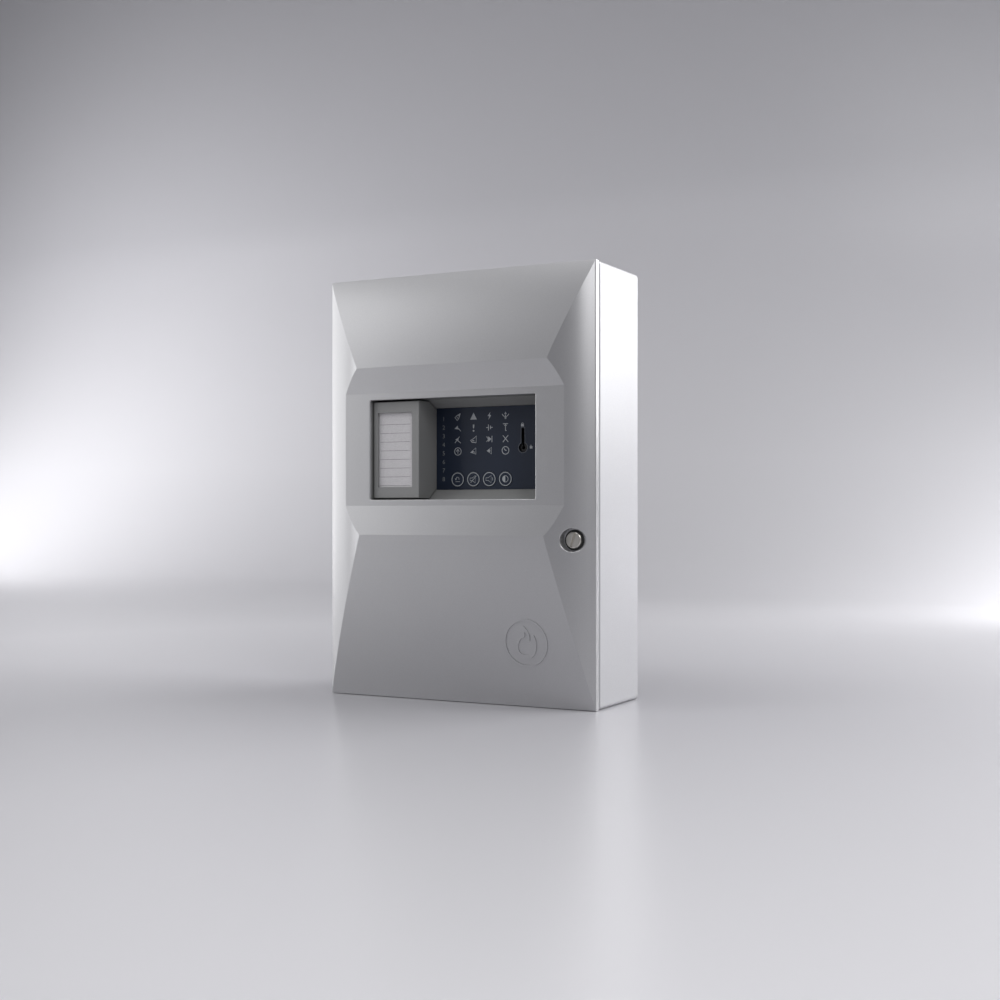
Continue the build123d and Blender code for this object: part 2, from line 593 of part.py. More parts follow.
def make_label_holder():
    """Hollow block beside the fascia that carries the zone label under a clear cover."""
    top = WINDOW_Z + TRAY_HEIGHT / 2 - HOLDER_GAP
    bottom = WINDOW_Z - TRAY_HEIGHT / 2 + HOLDER_GAP
    back_top = FLOOR_Z + FLOOR_HEIGHT / 2 - HOLDER_GAP
    back_bottom = FLOOR_Z - FLOOR_HEIGHT / 2 + HOLDER_GAP
    middle = (HOLDER_LEFT + HOLDER_RIGHT) / 2
    with BuildPart() as label_holder:
        with BuildSketch(Plane.YZ.offset(HOLDER_LEFT)):
            with BuildLine():
                Polyline((-HOLDER_DEPTH, top), (-TRAY_KNEE, top), (-FLOOR_FRONT, back_top),
                         (-FLOOR_FRONT, back_bottom), (-TRAY_KNEE, bottom), (-HOLDER_DEPTH, bottom),
                         close=True)
            make_face()
        extrude(amount=HOLDER_RIGHT - HOLDER_LEFT)
        fillet(label_holder.faces().sort_by(Axis.Y)[0].edges(), radius=HOLDER_ROUNDING)
        with BuildSketch(front(FLOOR_FRONT)):
            with Locations((middle, FLOOR_Z)):
                Rectangle(HOLDER_RIGHT - HOLDER_LEFT - 2 * HOLDER_WALL,
                          FLOOR_HEIGHT - 2 * HOLDER_GAP - 2 * HOLDER_WALL)
        extrude(amount=HOLDER_DEPTH - FLOOR_FRONT - HOLDER_FRONT_WALL, mode=Mode.SUBTRACT)
        block(*label_block(LABEL_RECESS, 0, EPS), mode=Mode.SUBTRACT)
    save(label_holder.part, "label_holder")

    with BuildPart() as label_card:
        block(*label_block(LABEL_RECESS, LABEL_RECESS - LABEL_THICKNESS, 0))
    save(label_card.part, "label_card")

    cover_back = LABEL_RECESS - LABEL_THICKNESS - EPS
    with BuildPart() as label_cover:
        block(*label_block(cover_back, cover_back - LABEL_COVER, 0))
    save(label_cover.part, "label_cover")


def label_block(rear, face, clearance):
    """Limits of a sheet in the label recess, between two distances behind the holder's front."""
    x = (LABEL_X - LABEL_WIDTH / 2 - clearance, LABEL_X + LABEL_WIDTH / 2 + clearance)
    z = (WINDOW_Z - LABEL_HEIGHT / 2 - clearance, WINDOW_Z + LABEL_HEIGHT / 2 + clearance)
    return x, (HOLDER_DEPTH - rear, HOLDER_DEPTH - face), z


def make_fascia():
    """Printed overlay on the tray's floor, its four keys and the key switch."""
    left = HOLDER_RIGHT + 0.2
    right = TRAY_WIDTH / 2 - 0.2
    with BuildPart() as fascia_overlay:
        with BuildSketch(front(FLOOR_FRONT)):
            with Locations(((left + right) / 2, FLOOR_Z)):
                Rectangle(right - left, FLOOR_HEIGHT - 0.2)
            with Locations([(x, KEY_Z) for x in COLUMNS]):
                Circle(KEY_DIAMETER / 2 + 0.3, mode=Mode.SUBTRACT)
            keyway_outline(ROTOR_DIAMETER + 0.4, KEYWAY_WIDTH, Mode.SUBTRACT)
        extrude(amount=OVERLAY_THICKNESS)
    save(fascia_overlay.part, "fascia_overlay")

    flange_front = FLOOR_BACK - 0.3
    flange_back = flange_front - KEY_FLANGE[1]
    for x, name in zip(COLUMNS, KEY_NAMES):
        with BuildPart() as key:
            rod(x, KEY_Z, KEY_DIAMETER, (flange_front, OVERLAY_DEPTH + KEY_PROUD))
            fillet(key.edges().sort_by(Axis.Y)[0], radius=0.3)
            rod(x, KEY_Z, KEY_DIAMETER + KEY_FLANGE[0], (flange_back, flange_front))
            rod(x, KEY_Z, KEY_STEM[0], (flange_back - KEY_STEM[1], flange_back))
        save(key.part, name)

    with BuildPart() as key_switch_body:
        block(*switch_block(0))
        with BuildSketch(front(FLOOR_FRONT - 6)):
            keyway_outline(ROTOR_DIAMETER + 0.1, KEYWAY_WIDTH, Mode.ADD)
        extrude(amount=6, mode=Mode.SUBTRACT)
        rod(SWITCH_X, SWITCH_Z, ROTOR_DIAMETER + 0.1, (SWITCH_BACK + 2, FLOOR_FRONT),
            mode=Mode.SUBTRACT)
    save(key_switch_body.part, "key_switch_body")

    with BuildPart() as key_switch_rotor:
        rod(SWITCH_X, SWITCH_Z, ROTOR_DIAMETER, (SWITCH_BACK + 2.3, FLOOR_FRONT - 1))
        fillet(key_switch_rotor.edges().sort_by(Axis.Y)[0], radius=0.3)
        block((SWITCH_X - 0.7, SWITCH_X + 0.7), (FLOOR_FRONT - 5, FLOOR_FRONT),
              (SWITCH_Z - 1, SWITCH_Z + ROTOR_DIAMETER / 2), mode=Mode.SUBTRACT)
        rod(SWITCH_X, SWITCH_Z, 3.0, (FLOOR_FRONT - 5, FLOOR_FRONT), mode=Mode.SUBTRACT)
    save(key_switch_rotor.part, "key_switch_rotor")


def keyway_outline(hub, width, mode):
    """Keyhole outline: a round hub with a straight slot that runs up from it."""
    with Locations((SWITCH_X, SWITCH_Z)):
        Circle(hub / 2, mode=mode)
    with Locations((SWITCH_X, (SWITCH_Z + KEYWAY_TOP) / 2)):
        Rectangle(width, KEYWAY_TOP - SWITCH_Z, mode=mode)


def make_display_board():
    """Board behind the fascia with its lamps, key switches and ribbon socket."""
    x = (DISPLAY_BOARD_LEFT, DISPLAY_BOARD_RIGHT)
    z = (FLOOR_Z - DISPLAY_BOARD_HALF_HEIGHT, FLOOR_Z + DISPLAY_BOARD_HALF_HEIGHT)
    with BuildPart() as display_board:
        block(x, (DISPLAY_BOARD_BACK, DISPLAY_BOARD_FRONT), z)
        block(*switch_block(0.3), mode=Mode.SUBTRACT)
        for place in BOARD_POSTS:
            rod(*place, 2.6, (DISPLAY_BOARD_BACK, DISPLAY_BOARD_FRONT), mode=Mode.SUBTRACT)
    save(display_board.part, "display_board")

    with BuildPart() as zone_lamps:
        for place in LAMPS[:8]:
            lamp(*place)
    save(zone_lamps.part, "zone_lamps")

    with BuildPart() as status_lamps:
        for place in LAMPS[8:]:
            lamp(*place)
    save(status_lamps.part, "status_lamps")

    with BuildPart() as tact_switches:
        for x in COLUMNS:
            block((x - 3, x + 3), (DISPLAY_BOARD_FRONT, DISPLAY_BOARD_FRONT + 3.5),
                  (KEY_Z - 3, KEY_Z + 3))
            rod(x, KEY_Z, 3.4, (DISPLAY_BOARD_FRONT + 3.5, FLOOR_BACK - 1.3 - KEY_TRAVEL - 0.1))
    save(tact_switches.part, "tact_switches")


def lamp(x, z):
    """Round indicator lamp with a domed tip."""
    shoulder = FLOOR_FRONT - 0.8 - LED_DIAMETER / 2
    rod(x, z, LED_DIAMETER, (DISPLAY_BOARD_FRONT, shoulder))
    with Locations((x, -shoulder, z)):
        Sphere(LED_DIAMETER / 2)


def make_display_fixings():
    """Pillars that carry the tray through the main board, and the small screws."""
    with BuildPart() as display_pillars:
        for x in (-PILLAR_X, PILLAR_X):
            for z in PILLAR_Z:
                hexagon(x, z, 6.0, (MAIN_BOARD_FRONT, EAR_BACK))
                rod(x, z, 3.0, (EAR_BACK - 8, EAR_BACK), mode=Mode.SUBTRACT)
                rod(x, z, 3.0, (MAIN_BOARD_BACK - 4, MAIN_BOARD_FRONT))
    save(display_pillars.part, "display_pillars")

    with BuildPart() as board_standoffs:
        for x, z in STANDOFFS:
            hexagon(x, z, 6.0, (SHEET, MAIN_BOARD_BACK))
            rod(x, z, 3.0, (MAIN_BOARD_BACK - 5, MAIN_BOARD_BACK), mode=Mode.SUBTRACT)
    save(board_standoffs.part, "board_standoffs")

    with BuildPart() as board_screws:
        for x in (-PILLAR_X, PILLAR_X):
            pan_screw(x, UPPER_STANDOFF_Z, MAIN_BOARD_FRONT)
            for z in PILLAR_Z:
                pan_screw(x, z, EAR_BACK + EAR_THICKNESS, length=8)
        for x, z in BOARD_POSTS:
            rod(x, z, 2.4, (DISPLAY_BOARD_BACK, DISPLAY_BOARD_FRONT + 3))
            rod(x, z, 5.0, (DISPLAY_BOARD_BACK - 1.6, DISPLAY_BOARD_BACK))
    save(board_screws.part, "board_screws")


# ---------------------------------------------------------------- main board
def make_main_board():
    """Bare board with its fixing holes."""
    with BuildPart() as main_board:
        with BuildSketch(front(MAIN_BOARD_BACK)):
            with Locations((0, (MAIN_BOARD_TOP + MAIN_BOARD_BOTTOM) / 2)):
                RectangleRounded(MAIN_BOARD_WIDTH, MAIN_BOARD_TOP - MAIN_BOARD_BOTTOM, 2)
            with Locations(STANDOFFS):
                Circle(1.6, mode=Mode.SUBTRACT)
        extrude(amount=BOARD_THICKNESS)
    save(main_board.part, "main_board")


def on_board(x, z, size, height, mode=Mode.ADD, lift=0.0):
    """Block of size (wide, tall) centred on the main board, as high as the given height."""
    block((x - size[0] / 2, x + size[0] / 2),
          (MAIN_BOARD_FRONT + lift, MAIN_BOARD_FRONT + lift + height),
          (z - size[1] / 2, z + size[1] / 2), mode=mode)


def make_terminals():
    """Row of six-way screw terminals along the top of the board."""
    wide, tall, high = 30.0, 10.0, 10.0
    pitch = wide / 6
    ways = [x + pitch * (i - 2.5) for x in TERMINAL_X for i in range(6)]
    with BuildPart() as field_terminals:
        for x in TERMINAL_X:
            on_board(x, TERMINAL_Z, (wide, tall), high)
        fronts = field_terminals.faces().filter_by(Axis.Y).group_by(Axis.Y)[0]
        chamfer(fronts.edges().filter_by(Axis.X), length=1.5)
        for x in ways:
            on_board(x, TERMINAL_Z + tall / 2, (3.4, 8), 4, mode=Mode.SUBTRACT, lift=2)
            rod(x, TERMINAL_Z, 3.6, (MAIN_BOARD_FRONT + high - 2.5, MAIN_BOARD_FRONT + high),
                mode=Mode.SUBTRACT)
    save(field_terminals.part, "field_terminals")

    with BuildPart() as terminal_screws:
        seat = MAIN_BOARD_FRONT + high - 2.5
        for x in ways:
            rod(x, TERMINAL_Z, 3.4, (seat, seat + 1.8))
            block((x - 1.7, x + 1.7), (seat + 1.1, seat + 1.8),
                  (TERMINAL_Z - 0.35, TERMINAL_Z + 0.35), mode=Mode.SUBTRACT)
        for x, z in MAINS_WAYS:
            rod(x, z, 4.8, (MAINS_FRONT - 3, MAINS_FRONT - 1))
            block((x - 2.4, x + 2.4), (MAINS_FRONT - 1.7, MAINS_FRONT - 1), (z - 0.4, z + 0.4),
                  mode=Mode.SUBTRACT)
    save(terminal_screws.part, "terminal_screws")


def make_board_parts():
    """Relays, fuses, chips, capacitors, regulators, heat sink and buzzer."""
    with BuildPart() as relays:
        for x in RELAY_X:
            on_board(x, RELAY_Z, (19, 15.5), 15)
        fillet(relays.edges().filter_by(Axis.Y), radius=0.8)
    save(relays.part, "relays")

    with BuildPart() as fuse_clips:
        for x in FUSE_X:
            for z in (FUSE_Z - 8, FUSE_Z + 8):
                on_board(x, z, (6.4, 4), 6.5)
                rod(x, z, 5.2, (MAIN_BOARD_FRONT, MAIN_BOARD_FRONT + 1), mode=Mode.SUBTRACT)
                on_board(x, z, (5.2, 5), 6.5, mode=Mode.SUBTRACT, lift=0.8)
    save(fuse_clips.part, "fuse_clips")

    with BuildPart() as fuses:
        for x in FUSE_X:
            with Locations((x, -MAIN_BOARD_FRONT - 3.6, FUSE_Z)):
                Cylinder(2.3, 20)
            for z in (FUSE_Z - 7.5, FUSE_Z + 7.5):
                with Locations((x, -MAIN_BOARD_FRONT - 3.6, z)):
                    Cylinder(2.55, 5)
    save(fuses.part, "fuses")

    with BuildPart() as chips:
        on_board(*CONTROLLER, (14, 14), 1.4, lift=0.1)
        for i in range(12):
            step = (i - 5.5) * 1.0
            for across, along in (((17, 0.4), (0, step)), ((0.4, 17), (step, 0))):
                on_board(CONTROLLER[0] + along[0], CONTROLLER[1] + along[1], across, 0.3)
        for x, z in LOGIC_CHIPS:
            on_board(x, z, (19.6, 6.4), 3.2, lift=0.6)
            for i in range(8):
                on_board(x + (i - 3.5) * 2.54, z, (1.2, 7.6), 1.6)
    save(chips.part, "chips")

    with BuildPart() as capacitors:
        for x in CAPACITOR_X:
            rod(x, CAPACITOR_Z, 12.5, (MAIN_BOARD_FRONT, MAIN_BOARD_FRONT + 22))
        fillet(capacitors.edges().filter_by(GeomType.CIRCLE).group_by(Axis.Y)[0], radius=0.8)
    save(capacitors.part, "capacitors")

    with BuildPart() as heat_sink:
        on_board(*HEAT_SINK, (36, 3), 28)
        for i in range(7):
            on_board(HEAT_SINK[0] + (i - 3) * 5.6, HEAT_SINK[1] - 8, (1.6, 13.2), 28)
    save(heat_sink.part, "heat_sink")

    with BuildPart() as regulators:
        for x in (HEAT_SINK[0] - 9, HEAT_SINK[0] + 9):
            body = HEAT_SINK[1] + 1.5 + 2.2
            on_board(x, body, (10, 4.4), 9, lift=5)
            on_board(x, HEAT_SINK[1] + 1.5 + 0.65, (10, 1.3), 6.5, lift=14)
            for leg in (-2.54, 0, 2.54):
                on_board(x + leg, body, (0.8, 0.6), 5)
    save(regulators.part, "regulators")

    with BuildPart() as buzzer:
        rod(*BUZZER, 23, (MAIN_BOARD_FRONT, MAIN_BOARD_FRONT + 11))
        fillet(buzzer.edges().sort_by(Axis.Y)[0], radius=1)
        rod(*BUZZER, 3, (MAIN_BOARD_FRONT + 8, MAIN_BOARD_FRONT + 11), mode=Mode.SUBTRACT)
    save(buzzer.part, "buzzer")


def make_ribbon():
    """Ribbon cable between the display board and the main board, and the boards' sockets."""
    upper, lower = DISPLAY_BOARD_BACK - 4, MAIN_BOARD_FRONT + 5
    with BuildPart() as board_connectors:
        for x in HEADER_X:
            on_board(x, HEADER_Z, (16, 8), HEADER_HEIGHT)
        block((RIBBON_X - 15, RIBBON_X + 15), (upper - 4, DISPLAY_BOARD_BACK),
              (RIBBON_TOP, RIBBON_TOP + 8))
        block((RIBBON_X - 15, RIBBON_X + 15), (MAIN_BOARD_FRONT, lower + 4),
              (RIBBON_BOTTOM - 8, RIBBON_BOTTOM))
    save(board_connectors.part, "board_connectors")

    bend_z = (RIBBON_TOP + RIBBON_BOTTOM) / 2
    with BuildPart() as ribbon_cable:
        with BuildSketch(Plane.YZ.offset(RIBBON_X - RIBBON_WIDTH / 2)):
            with BuildLine() as route:
                FilletPolyline((-upper, RIBBON_TOP), (-upper, bend_z), (-lower, bend_z),
                               (-lower, RIBBON_BOTTOM), radius=9)
            trace(route.wires()[0], line_width=1.0)
        extrude(amount=RIBBON_WIDTH)
    save(ribbon_cable.part, "ribbon_cable")


# ---------------------------------------------------------------- batteries
def make_batteries():
    """Two sealed blocks with tabs, the upper one on a shelf, both held by clamps."""
    shelf_top = SHELF_Z + BRACKET
    floors = (SHEET - HEIGHT / 2, shelf_top)
    names = ("battery_lower", "battery_upper")
    span = (-BATTERY_WIDTH / 2, BATTERY_WIDTH / 2)
    for floor, name in zip(floors, names):
        with BuildPart() as battery:
            block(span, (BATTERY_BACK, BATTERY_BACK + BATTERY_DEPTH), (floor, floor + BATTERY_HEIGHT))
            fillet(battery.edges().filter_by(Axis.Z), radius=2)
            # Parting line of the lid
            lid = floor + BATTERY_HEIGHT - 9
            with BuildSketch(Plane.XY.offset(lid)):
                with Locations((0, -BATTERY_BACK - BATTERY_DEPTH / 2)):
                    Rectangle(BATTERY_WIDTH, BATTERY_DEPTH)
                    RectangleRounded(BATTERY_WIDTH - 1, BATTERY_DEPTH - 1, 2, mode=Mode.SUBTRACT)
            extrude(amount=0.8, mode=Mode.SUBTRACT)
        save(battery.part, name)

    with BuildPart() as battery_tabs:
        wide, thick, tall = TAB_SIZE
        for floor in floors:
            for x in (-TAB_X, TAB_X):
                top = floor + BATTERY_HEIGHT
                block((x - wide / 2, x + wide / 2), (TAB_DEPTH - thick / 2, TAB_DEPTH + thick / 2),
                      (top, top + tall))
    save(battery_tabs.part, "battery_tabs")

    with BuildPart() as battery_shelf:
        half = CLAMP_HALF_WIDTH
        front_edge = BATTERY_BACK + BATTERY_DEPTH + 0.3
        block((-half, half), (SHEET, front_edge + BRACKET), (SHELF_Z, shelf_top))
        block((-half, half), (front_edge, front_edge + BRACKET), (SHELF_Z, shelf_top + 6))
        block((-half, half), (SHEET, SHEET + BRACKET), (SHELF_Z - 7, SHELF_Z))
    save(battery_shelf.part, "battery_shelf")

    with BuildPart() as battery_clamps:
        inner, outer = CLAMP_HALF_WIDTH, CLAMP_HALF_WIDTH + BRACKET
        face = BATTERY_BACK + BATTERY_DEPTH + 0.1
        for z in sorted({z for x, z in CLAMP_STUDS}):
            tall = (z - CLAMP_HALF_HEIGHT, z + CLAMP_HALF_HEIGHT)
            block((-outer, outer), (face, face + BRACKET), tall)
            for side in (-1, 1):
                block(sorted((side * inner, side * outer)), (SHEET, face), tall)
                block(sorted((side * inner, side * (outer + CLAMP_FOOT))), (SHEET, SHEET + BRACKET),
                      tall)
        for x, z in CLAMP_STUDS:
            rod(x, z, STUD_HOLE, (SHEET, SHEET + BRACKET), mode=Mode.SUBTRACT)
    save(battery_clamps.part, "battery_clamps")


# ---------------------------------------------------------------- power input
def make_transformer():
    """Laminated core with a wound coil, held to the back wall by two side brackets."""
    leg = CORE_WIDTH / 6
    left, right = CORE_X - CORE_WIDTH / 2, CORE_X + CORE_WIDTH / 2
    low, high = CORE_Z - CORE_HEIGHT / 2, CORE_Z + CORE_HEIGHT / 2
    window = (low + leg, high - leg)
    with BuildPart() as transformer_core:
        block((left, right), (CORE_BACK, CORE_FRONT), (low, high))
        for edge in (left + leg, right - 2 * leg):
            block((edge, edge + leg), (CORE_BACK, CORE_FRONT), window, mode=Mode.SUBTRACT)
    save(transformer_core.part, "transformer_core")

    with BuildPart() as transformer_coil:
        block((left + leg + EPS, right - leg - EPS), (CORE_BACK - 6, CORE_FRONT + 6),
              (window[0] + EPS, window[1] - EPS))
        fillet(transformer_coil.edges().filter_by(Axis.Z), radius=3)
        block((left + 2 * leg - EPS, right - 2 * leg + EPS), (CORE_BACK - EPS, CORE_FRONT + EPS),
              window, mode=Mode.SUBTRACT)
    save(transformer_coil.part, "transformer_coil")

    with BuildPart() as transformer_brackets:
        tall = (CORE_Z - 16, CORE_Z + 16)
        for side, plate, foot in ((-1, left, 7.6), (1, right, 7.3)):
            outer = plate + side * BRACKET
            block(sorted((plate, outer)), (SHEET, CORE_FRONT), tall)
            block(sorted((plate, plate + side * foot)), (SHEET, SHEET + BRACKET), tall)
        for x, z in TRANSFORMER_STUDS:
            rod(x, z, STUD_HOLE, (SHEET, SHEET + BRACKET), mode=Mode.SUBTRACT)
    save(transformer_brackets.part, "transformer_brackets")


def make_mains_input():
    """Mains terminal with its fuse carrier, the earth stud's nuts and the earth tag."""
    x, z = MAINS_TERMINAL
    with BuildPart() as mains_terminal:
        block((x - 15, x + 15), (SHEET, MAINS_FRONT), (z - 10, z + 10))
        fillet(mains_terminal.edges().filter_by(Axis.Y), radius=1)
        for way in MAINS_WAYS:
            rod(*way, 5.0, (MAINS_FRONT - 3, MAINS_FRONT), mode=Mode.SUBTRACT)
    save(mains_terminal.part, "mains_terminal")

    with BuildPart() as mains_fuse_carrier:
        block((x - 10, x + 10), (MAINS_FRONT, MAINS_FRONT + 7), (z - 1, z + 8))
        fillet(mains_fuse_carrier.edges().filter_by(Axis.Y), radius=1)
    save(mains_fuse_carrier.part, "mains_fuse_carrier")

    with BuildPart() as stud_nuts:
        for place in CLAMP_STUDS + TRANSFORMER_STUDS:
            nut(*place, NUT_FLATS, STUD_DIAMETER, (SHEET + BRACKET, SHEET + BRACKET + NUT_HEIGHT))
        nut(*EARTH_STUD, 8.0, EARTH_DIAMETER, (SHEET, SHEET + 3))
        nut(*EARTH_STUD, 8.0, EARTH_DIAMETER, (SHEET + 3.8, SHEET + 6.8))
    save(stud_nuts.part, "stud_nuts")

    with BuildPart() as earth_tag:
        rod(*EARTH_STUD, 9.6, (SHEET + 3, SHEET + 3.8))
        block((EARTH_STUD[0] - 2.4, EARTH_STUD[0] + 2.4), (SHEET + 3, SHEET + 3.8),
              (EARTH_STUD[1], EARTH_STUD[1] + 12))
        rod(*EARTH_STUD, EARTH_DIAMETER, (SHEET + 3, SHEET + 3.8), mode=Mode.SUBTRACT)
    save(earth_tag.part, "earth_tag")


def nut(x, z, across_flats, bore, depth):
    """Hexagonal nut on a stud square to the wall."""
    hexagon(x, z, across_flats, depth)
    rod(x, z, bore, depth, mode=Mode.SUBTRACT)


# ---------------------------------------------------------------- internal wiring
def make_wiring():
    """Internal leads, each held at both ends."""
    tab_half = TAB_SIZE[0] / 2
    tab_tall = TAB_SIZE[2]
    lower_tab = SHEET - HEIGHT / 2 + BATTERY_HEIGHT + 3.5
    upper_top = SHELF_Z + BRACKET + BATTERY_HEIGHT
    tab_y = -TAB_DEPTH
    enter = -MAIN_BOARD_FRONT - HEADER_HEIGHT
    battery_x, coil_x = HEADER_X
    save(wire([(-TAB_X, tab_y, upper_top + tab_tall), (-TAB_X, tab_y, upper_top + 18),
               (battery_x + 4, -42, HEADER_Z), (battery_x + 4, enter, HEADER_Z)]),
         "battery_lead_positive")
    save(wire([(-TAB_X - tab_half, tab_y, lower_tab), (-WIRE_LANE, tab_y, lower_tab),
               (-WIRE_LANE, tab_y, upper_top + 12), (battery_x - 4, -44, HEADER_Z),
               (battery_x - 4, enter, HEADER_Z)]),
         "battery_lead_negative")
    save(wire([(TAB_X + tab_half, tab_y, lower_tab), (WIRE_LANE, tab_y, lower_tab),
               (WIRE_LANE, tab_y, upper_top + 3.5), (TAB_X + tab_half, tab_y, upper_top + 3.5)]),
         "battery_link")

    coil_top = CORE_Z + CORE_HEIGHT / 2 - CORE_WIDTH / 6 - EPS
    mains_top = MAINS_TERMINAL[1] + 10
    lead_y = -CORE_BACK + 3
    with BuildPart() as mains_leads:
        for start, end, run in ((MAINS_TERMINAL[0] - 7, CORE_X + 4, upper_top + 13),
                                (MAINS_TERMINAL[0] + 7, CORE_X - 4, upper_top + 8)):
            add(wire([(start, lead_y, mains_top), (start, lead_y, run),
                      (end, lead_y, run), (end, lead_y, coil_top)]))
    save(mains_leads.part, "mains_leads")

    coil_y = -CORE_FRONT - 3
    with BuildPart() as transformer_leads:
        add(wire([(CORE_X - 8, coil_y, coil_top), (CORE_X - 8, coil_y, upper_top + 2),
                  (coil_x - 4, -38, HEADER_Z), (coil_x - 4, enter, HEADER_Z)]))
        add(wire([(CORE_X + 3, coil_y, coil_top), (CORE_X + 3, coil_y, upper_top + 6),
                  (coil_x + 4, -42, HEADER_Z), (coil_x + 4, enter, HEADER_Z)]))
    save(transformer_leads.part, "transformer_leads")

    tag_top = EARTH_STUD[1] + 12
    tag_y = -SHEET - 3.4
    save(wire([(MAINS_TERMINAL[0], -7, MAINS_TERMINAL[1] - 10), (MAINS_TERMINAL[0], -7, -106),
               (EARTH_STUD[0], tag_y, -118), (EARTH_STUD[0], tag_y, tag_top)]),
         "earth_lead")


# ---------------------------------------------------------------- whole panel
make_back_box()
make_door_cover()
make_hinge()
make_lock()
make_display_tray()
make_label_holder()
make_fascia()
make_display_board()
make_display_fixings()
make_main_board()
make_terminals()
make_board_parts()
make_ribbon()
make_batteries()
make_transformer()
make_mains_input()
make_wiring()
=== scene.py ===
import json
import math

import bmesh
import bpy
from mathutils import Matrix, Vector


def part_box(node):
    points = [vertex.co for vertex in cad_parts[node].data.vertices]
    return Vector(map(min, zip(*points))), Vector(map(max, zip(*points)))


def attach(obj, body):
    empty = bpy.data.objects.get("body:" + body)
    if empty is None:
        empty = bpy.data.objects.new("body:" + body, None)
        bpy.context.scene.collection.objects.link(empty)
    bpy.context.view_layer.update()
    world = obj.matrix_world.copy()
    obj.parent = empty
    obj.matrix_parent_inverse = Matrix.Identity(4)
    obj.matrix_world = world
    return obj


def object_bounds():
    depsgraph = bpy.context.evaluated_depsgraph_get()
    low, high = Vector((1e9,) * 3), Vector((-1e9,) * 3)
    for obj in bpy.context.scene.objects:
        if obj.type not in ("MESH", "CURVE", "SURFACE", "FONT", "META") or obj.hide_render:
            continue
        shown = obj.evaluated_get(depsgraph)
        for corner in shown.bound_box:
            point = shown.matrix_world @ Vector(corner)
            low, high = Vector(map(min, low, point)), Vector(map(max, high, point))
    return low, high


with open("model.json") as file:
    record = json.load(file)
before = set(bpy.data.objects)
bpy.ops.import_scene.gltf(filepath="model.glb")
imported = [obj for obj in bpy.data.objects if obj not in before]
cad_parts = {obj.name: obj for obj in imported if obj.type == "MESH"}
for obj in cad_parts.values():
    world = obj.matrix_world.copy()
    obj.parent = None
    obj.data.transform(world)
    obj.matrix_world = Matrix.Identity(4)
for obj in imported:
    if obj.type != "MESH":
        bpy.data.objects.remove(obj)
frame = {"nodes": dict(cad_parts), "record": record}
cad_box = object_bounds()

MM = 0.001
FLOOR_Z = cad_box[0][2]
LEAD_PITCH = 1.27 * MM      # tracks on the board and conductors in the ribbon


# ---------------------------------------------------------------- node helpers
def fill_sockets(tree, node, values):
    """Values or links for a node's inputs, by their names or places."""
    for socket, value in values.items():
        if isinstance(value, bpy.types.NodeSocket):
            tree.links.new(value, node.inputs[socket])
        else:
            node.inputs[socket].default_value = value


def add_node(tree, kind, **inputs):
    """New node of a kind, with values or links for its inputs."""
    node = tree.nodes.new(kind)
    fill_sockets(tree, node, {name.replace("_", " "): value for name, value in inputs.items()})
    return node


def new_material(name, **shader_values):
    """Empty node material with its shader's own sockets set."""
    material = bpy.data.materials.new(name)
    material.use_nodes = True
    tree = material.node_tree
    shader = tree.nodes["Principled BSDF"]
    for key, value in shader_values.items():
        shader.inputs[key.replace("_", " ")].default_value = value
    return material, tree, shader


def object_point(tree, stretch=(1, 1, 1)):
    """Point on the object in metres, stretched along its axes."""
    coordinates = add_node(tree, "ShaderNodeTexCoord")
    return add_node(tree, "ShaderNodeMapping", Vector=coordinates.outputs["Object"],
                    Scale=stretch).outputs["Vector"]


def noise(tree, point, scale, detail=4.0, rough=0.55):
    """Grey noise; scale is the number of features in a metre."""
    return add_node(tree, "ShaderNodeTexNoise", Vector=point, Scale=scale, Detail=detail,
                    Roughness=rough).outputs["Fac"]


def remap(tree, value, low, high, start=0.25, end=0.75):
    """Value spread from its range to another, clamped at the ends."""
    node = add_node(tree, "ShaderNodeMapRange", Value=value, From_Min=start, From_Max=end, To_Min=low,
                    To_Max=high)
    return node.outputs["Result"]


def mix_colours(tree, factor, low, high, mode="MIX"):
    """Blend of two colours, each a value or a link; a mix node's colours are inputs 6 and 7, output 2."""
    node = tree.nodes.new("ShaderNodeMix")
    node.data_type = "RGBA"
    node.blend_type = mode
    fill_sockets(tree, node, {0: factor, 6: low, 7: high})
    return node.outputs[2]


def math_node(tree, operation, first, second=0.0):
    """One arithmetic step."""
    node = tree.nodes.new("ShaderNodeMath")
    node.operation = operation
    fill_sockets(tree, node, {0: first, 1: second})
    return node.outputs[0]


def shade(colour, factor):
    """Colour made lighter or darker, with full alpha."""
    return (*(min(1.0, channel * factor) for channel in colour[:3]), 1.0)


GRAIN_SHARE = 0.4           # how much of the change in roughness comes from the grain


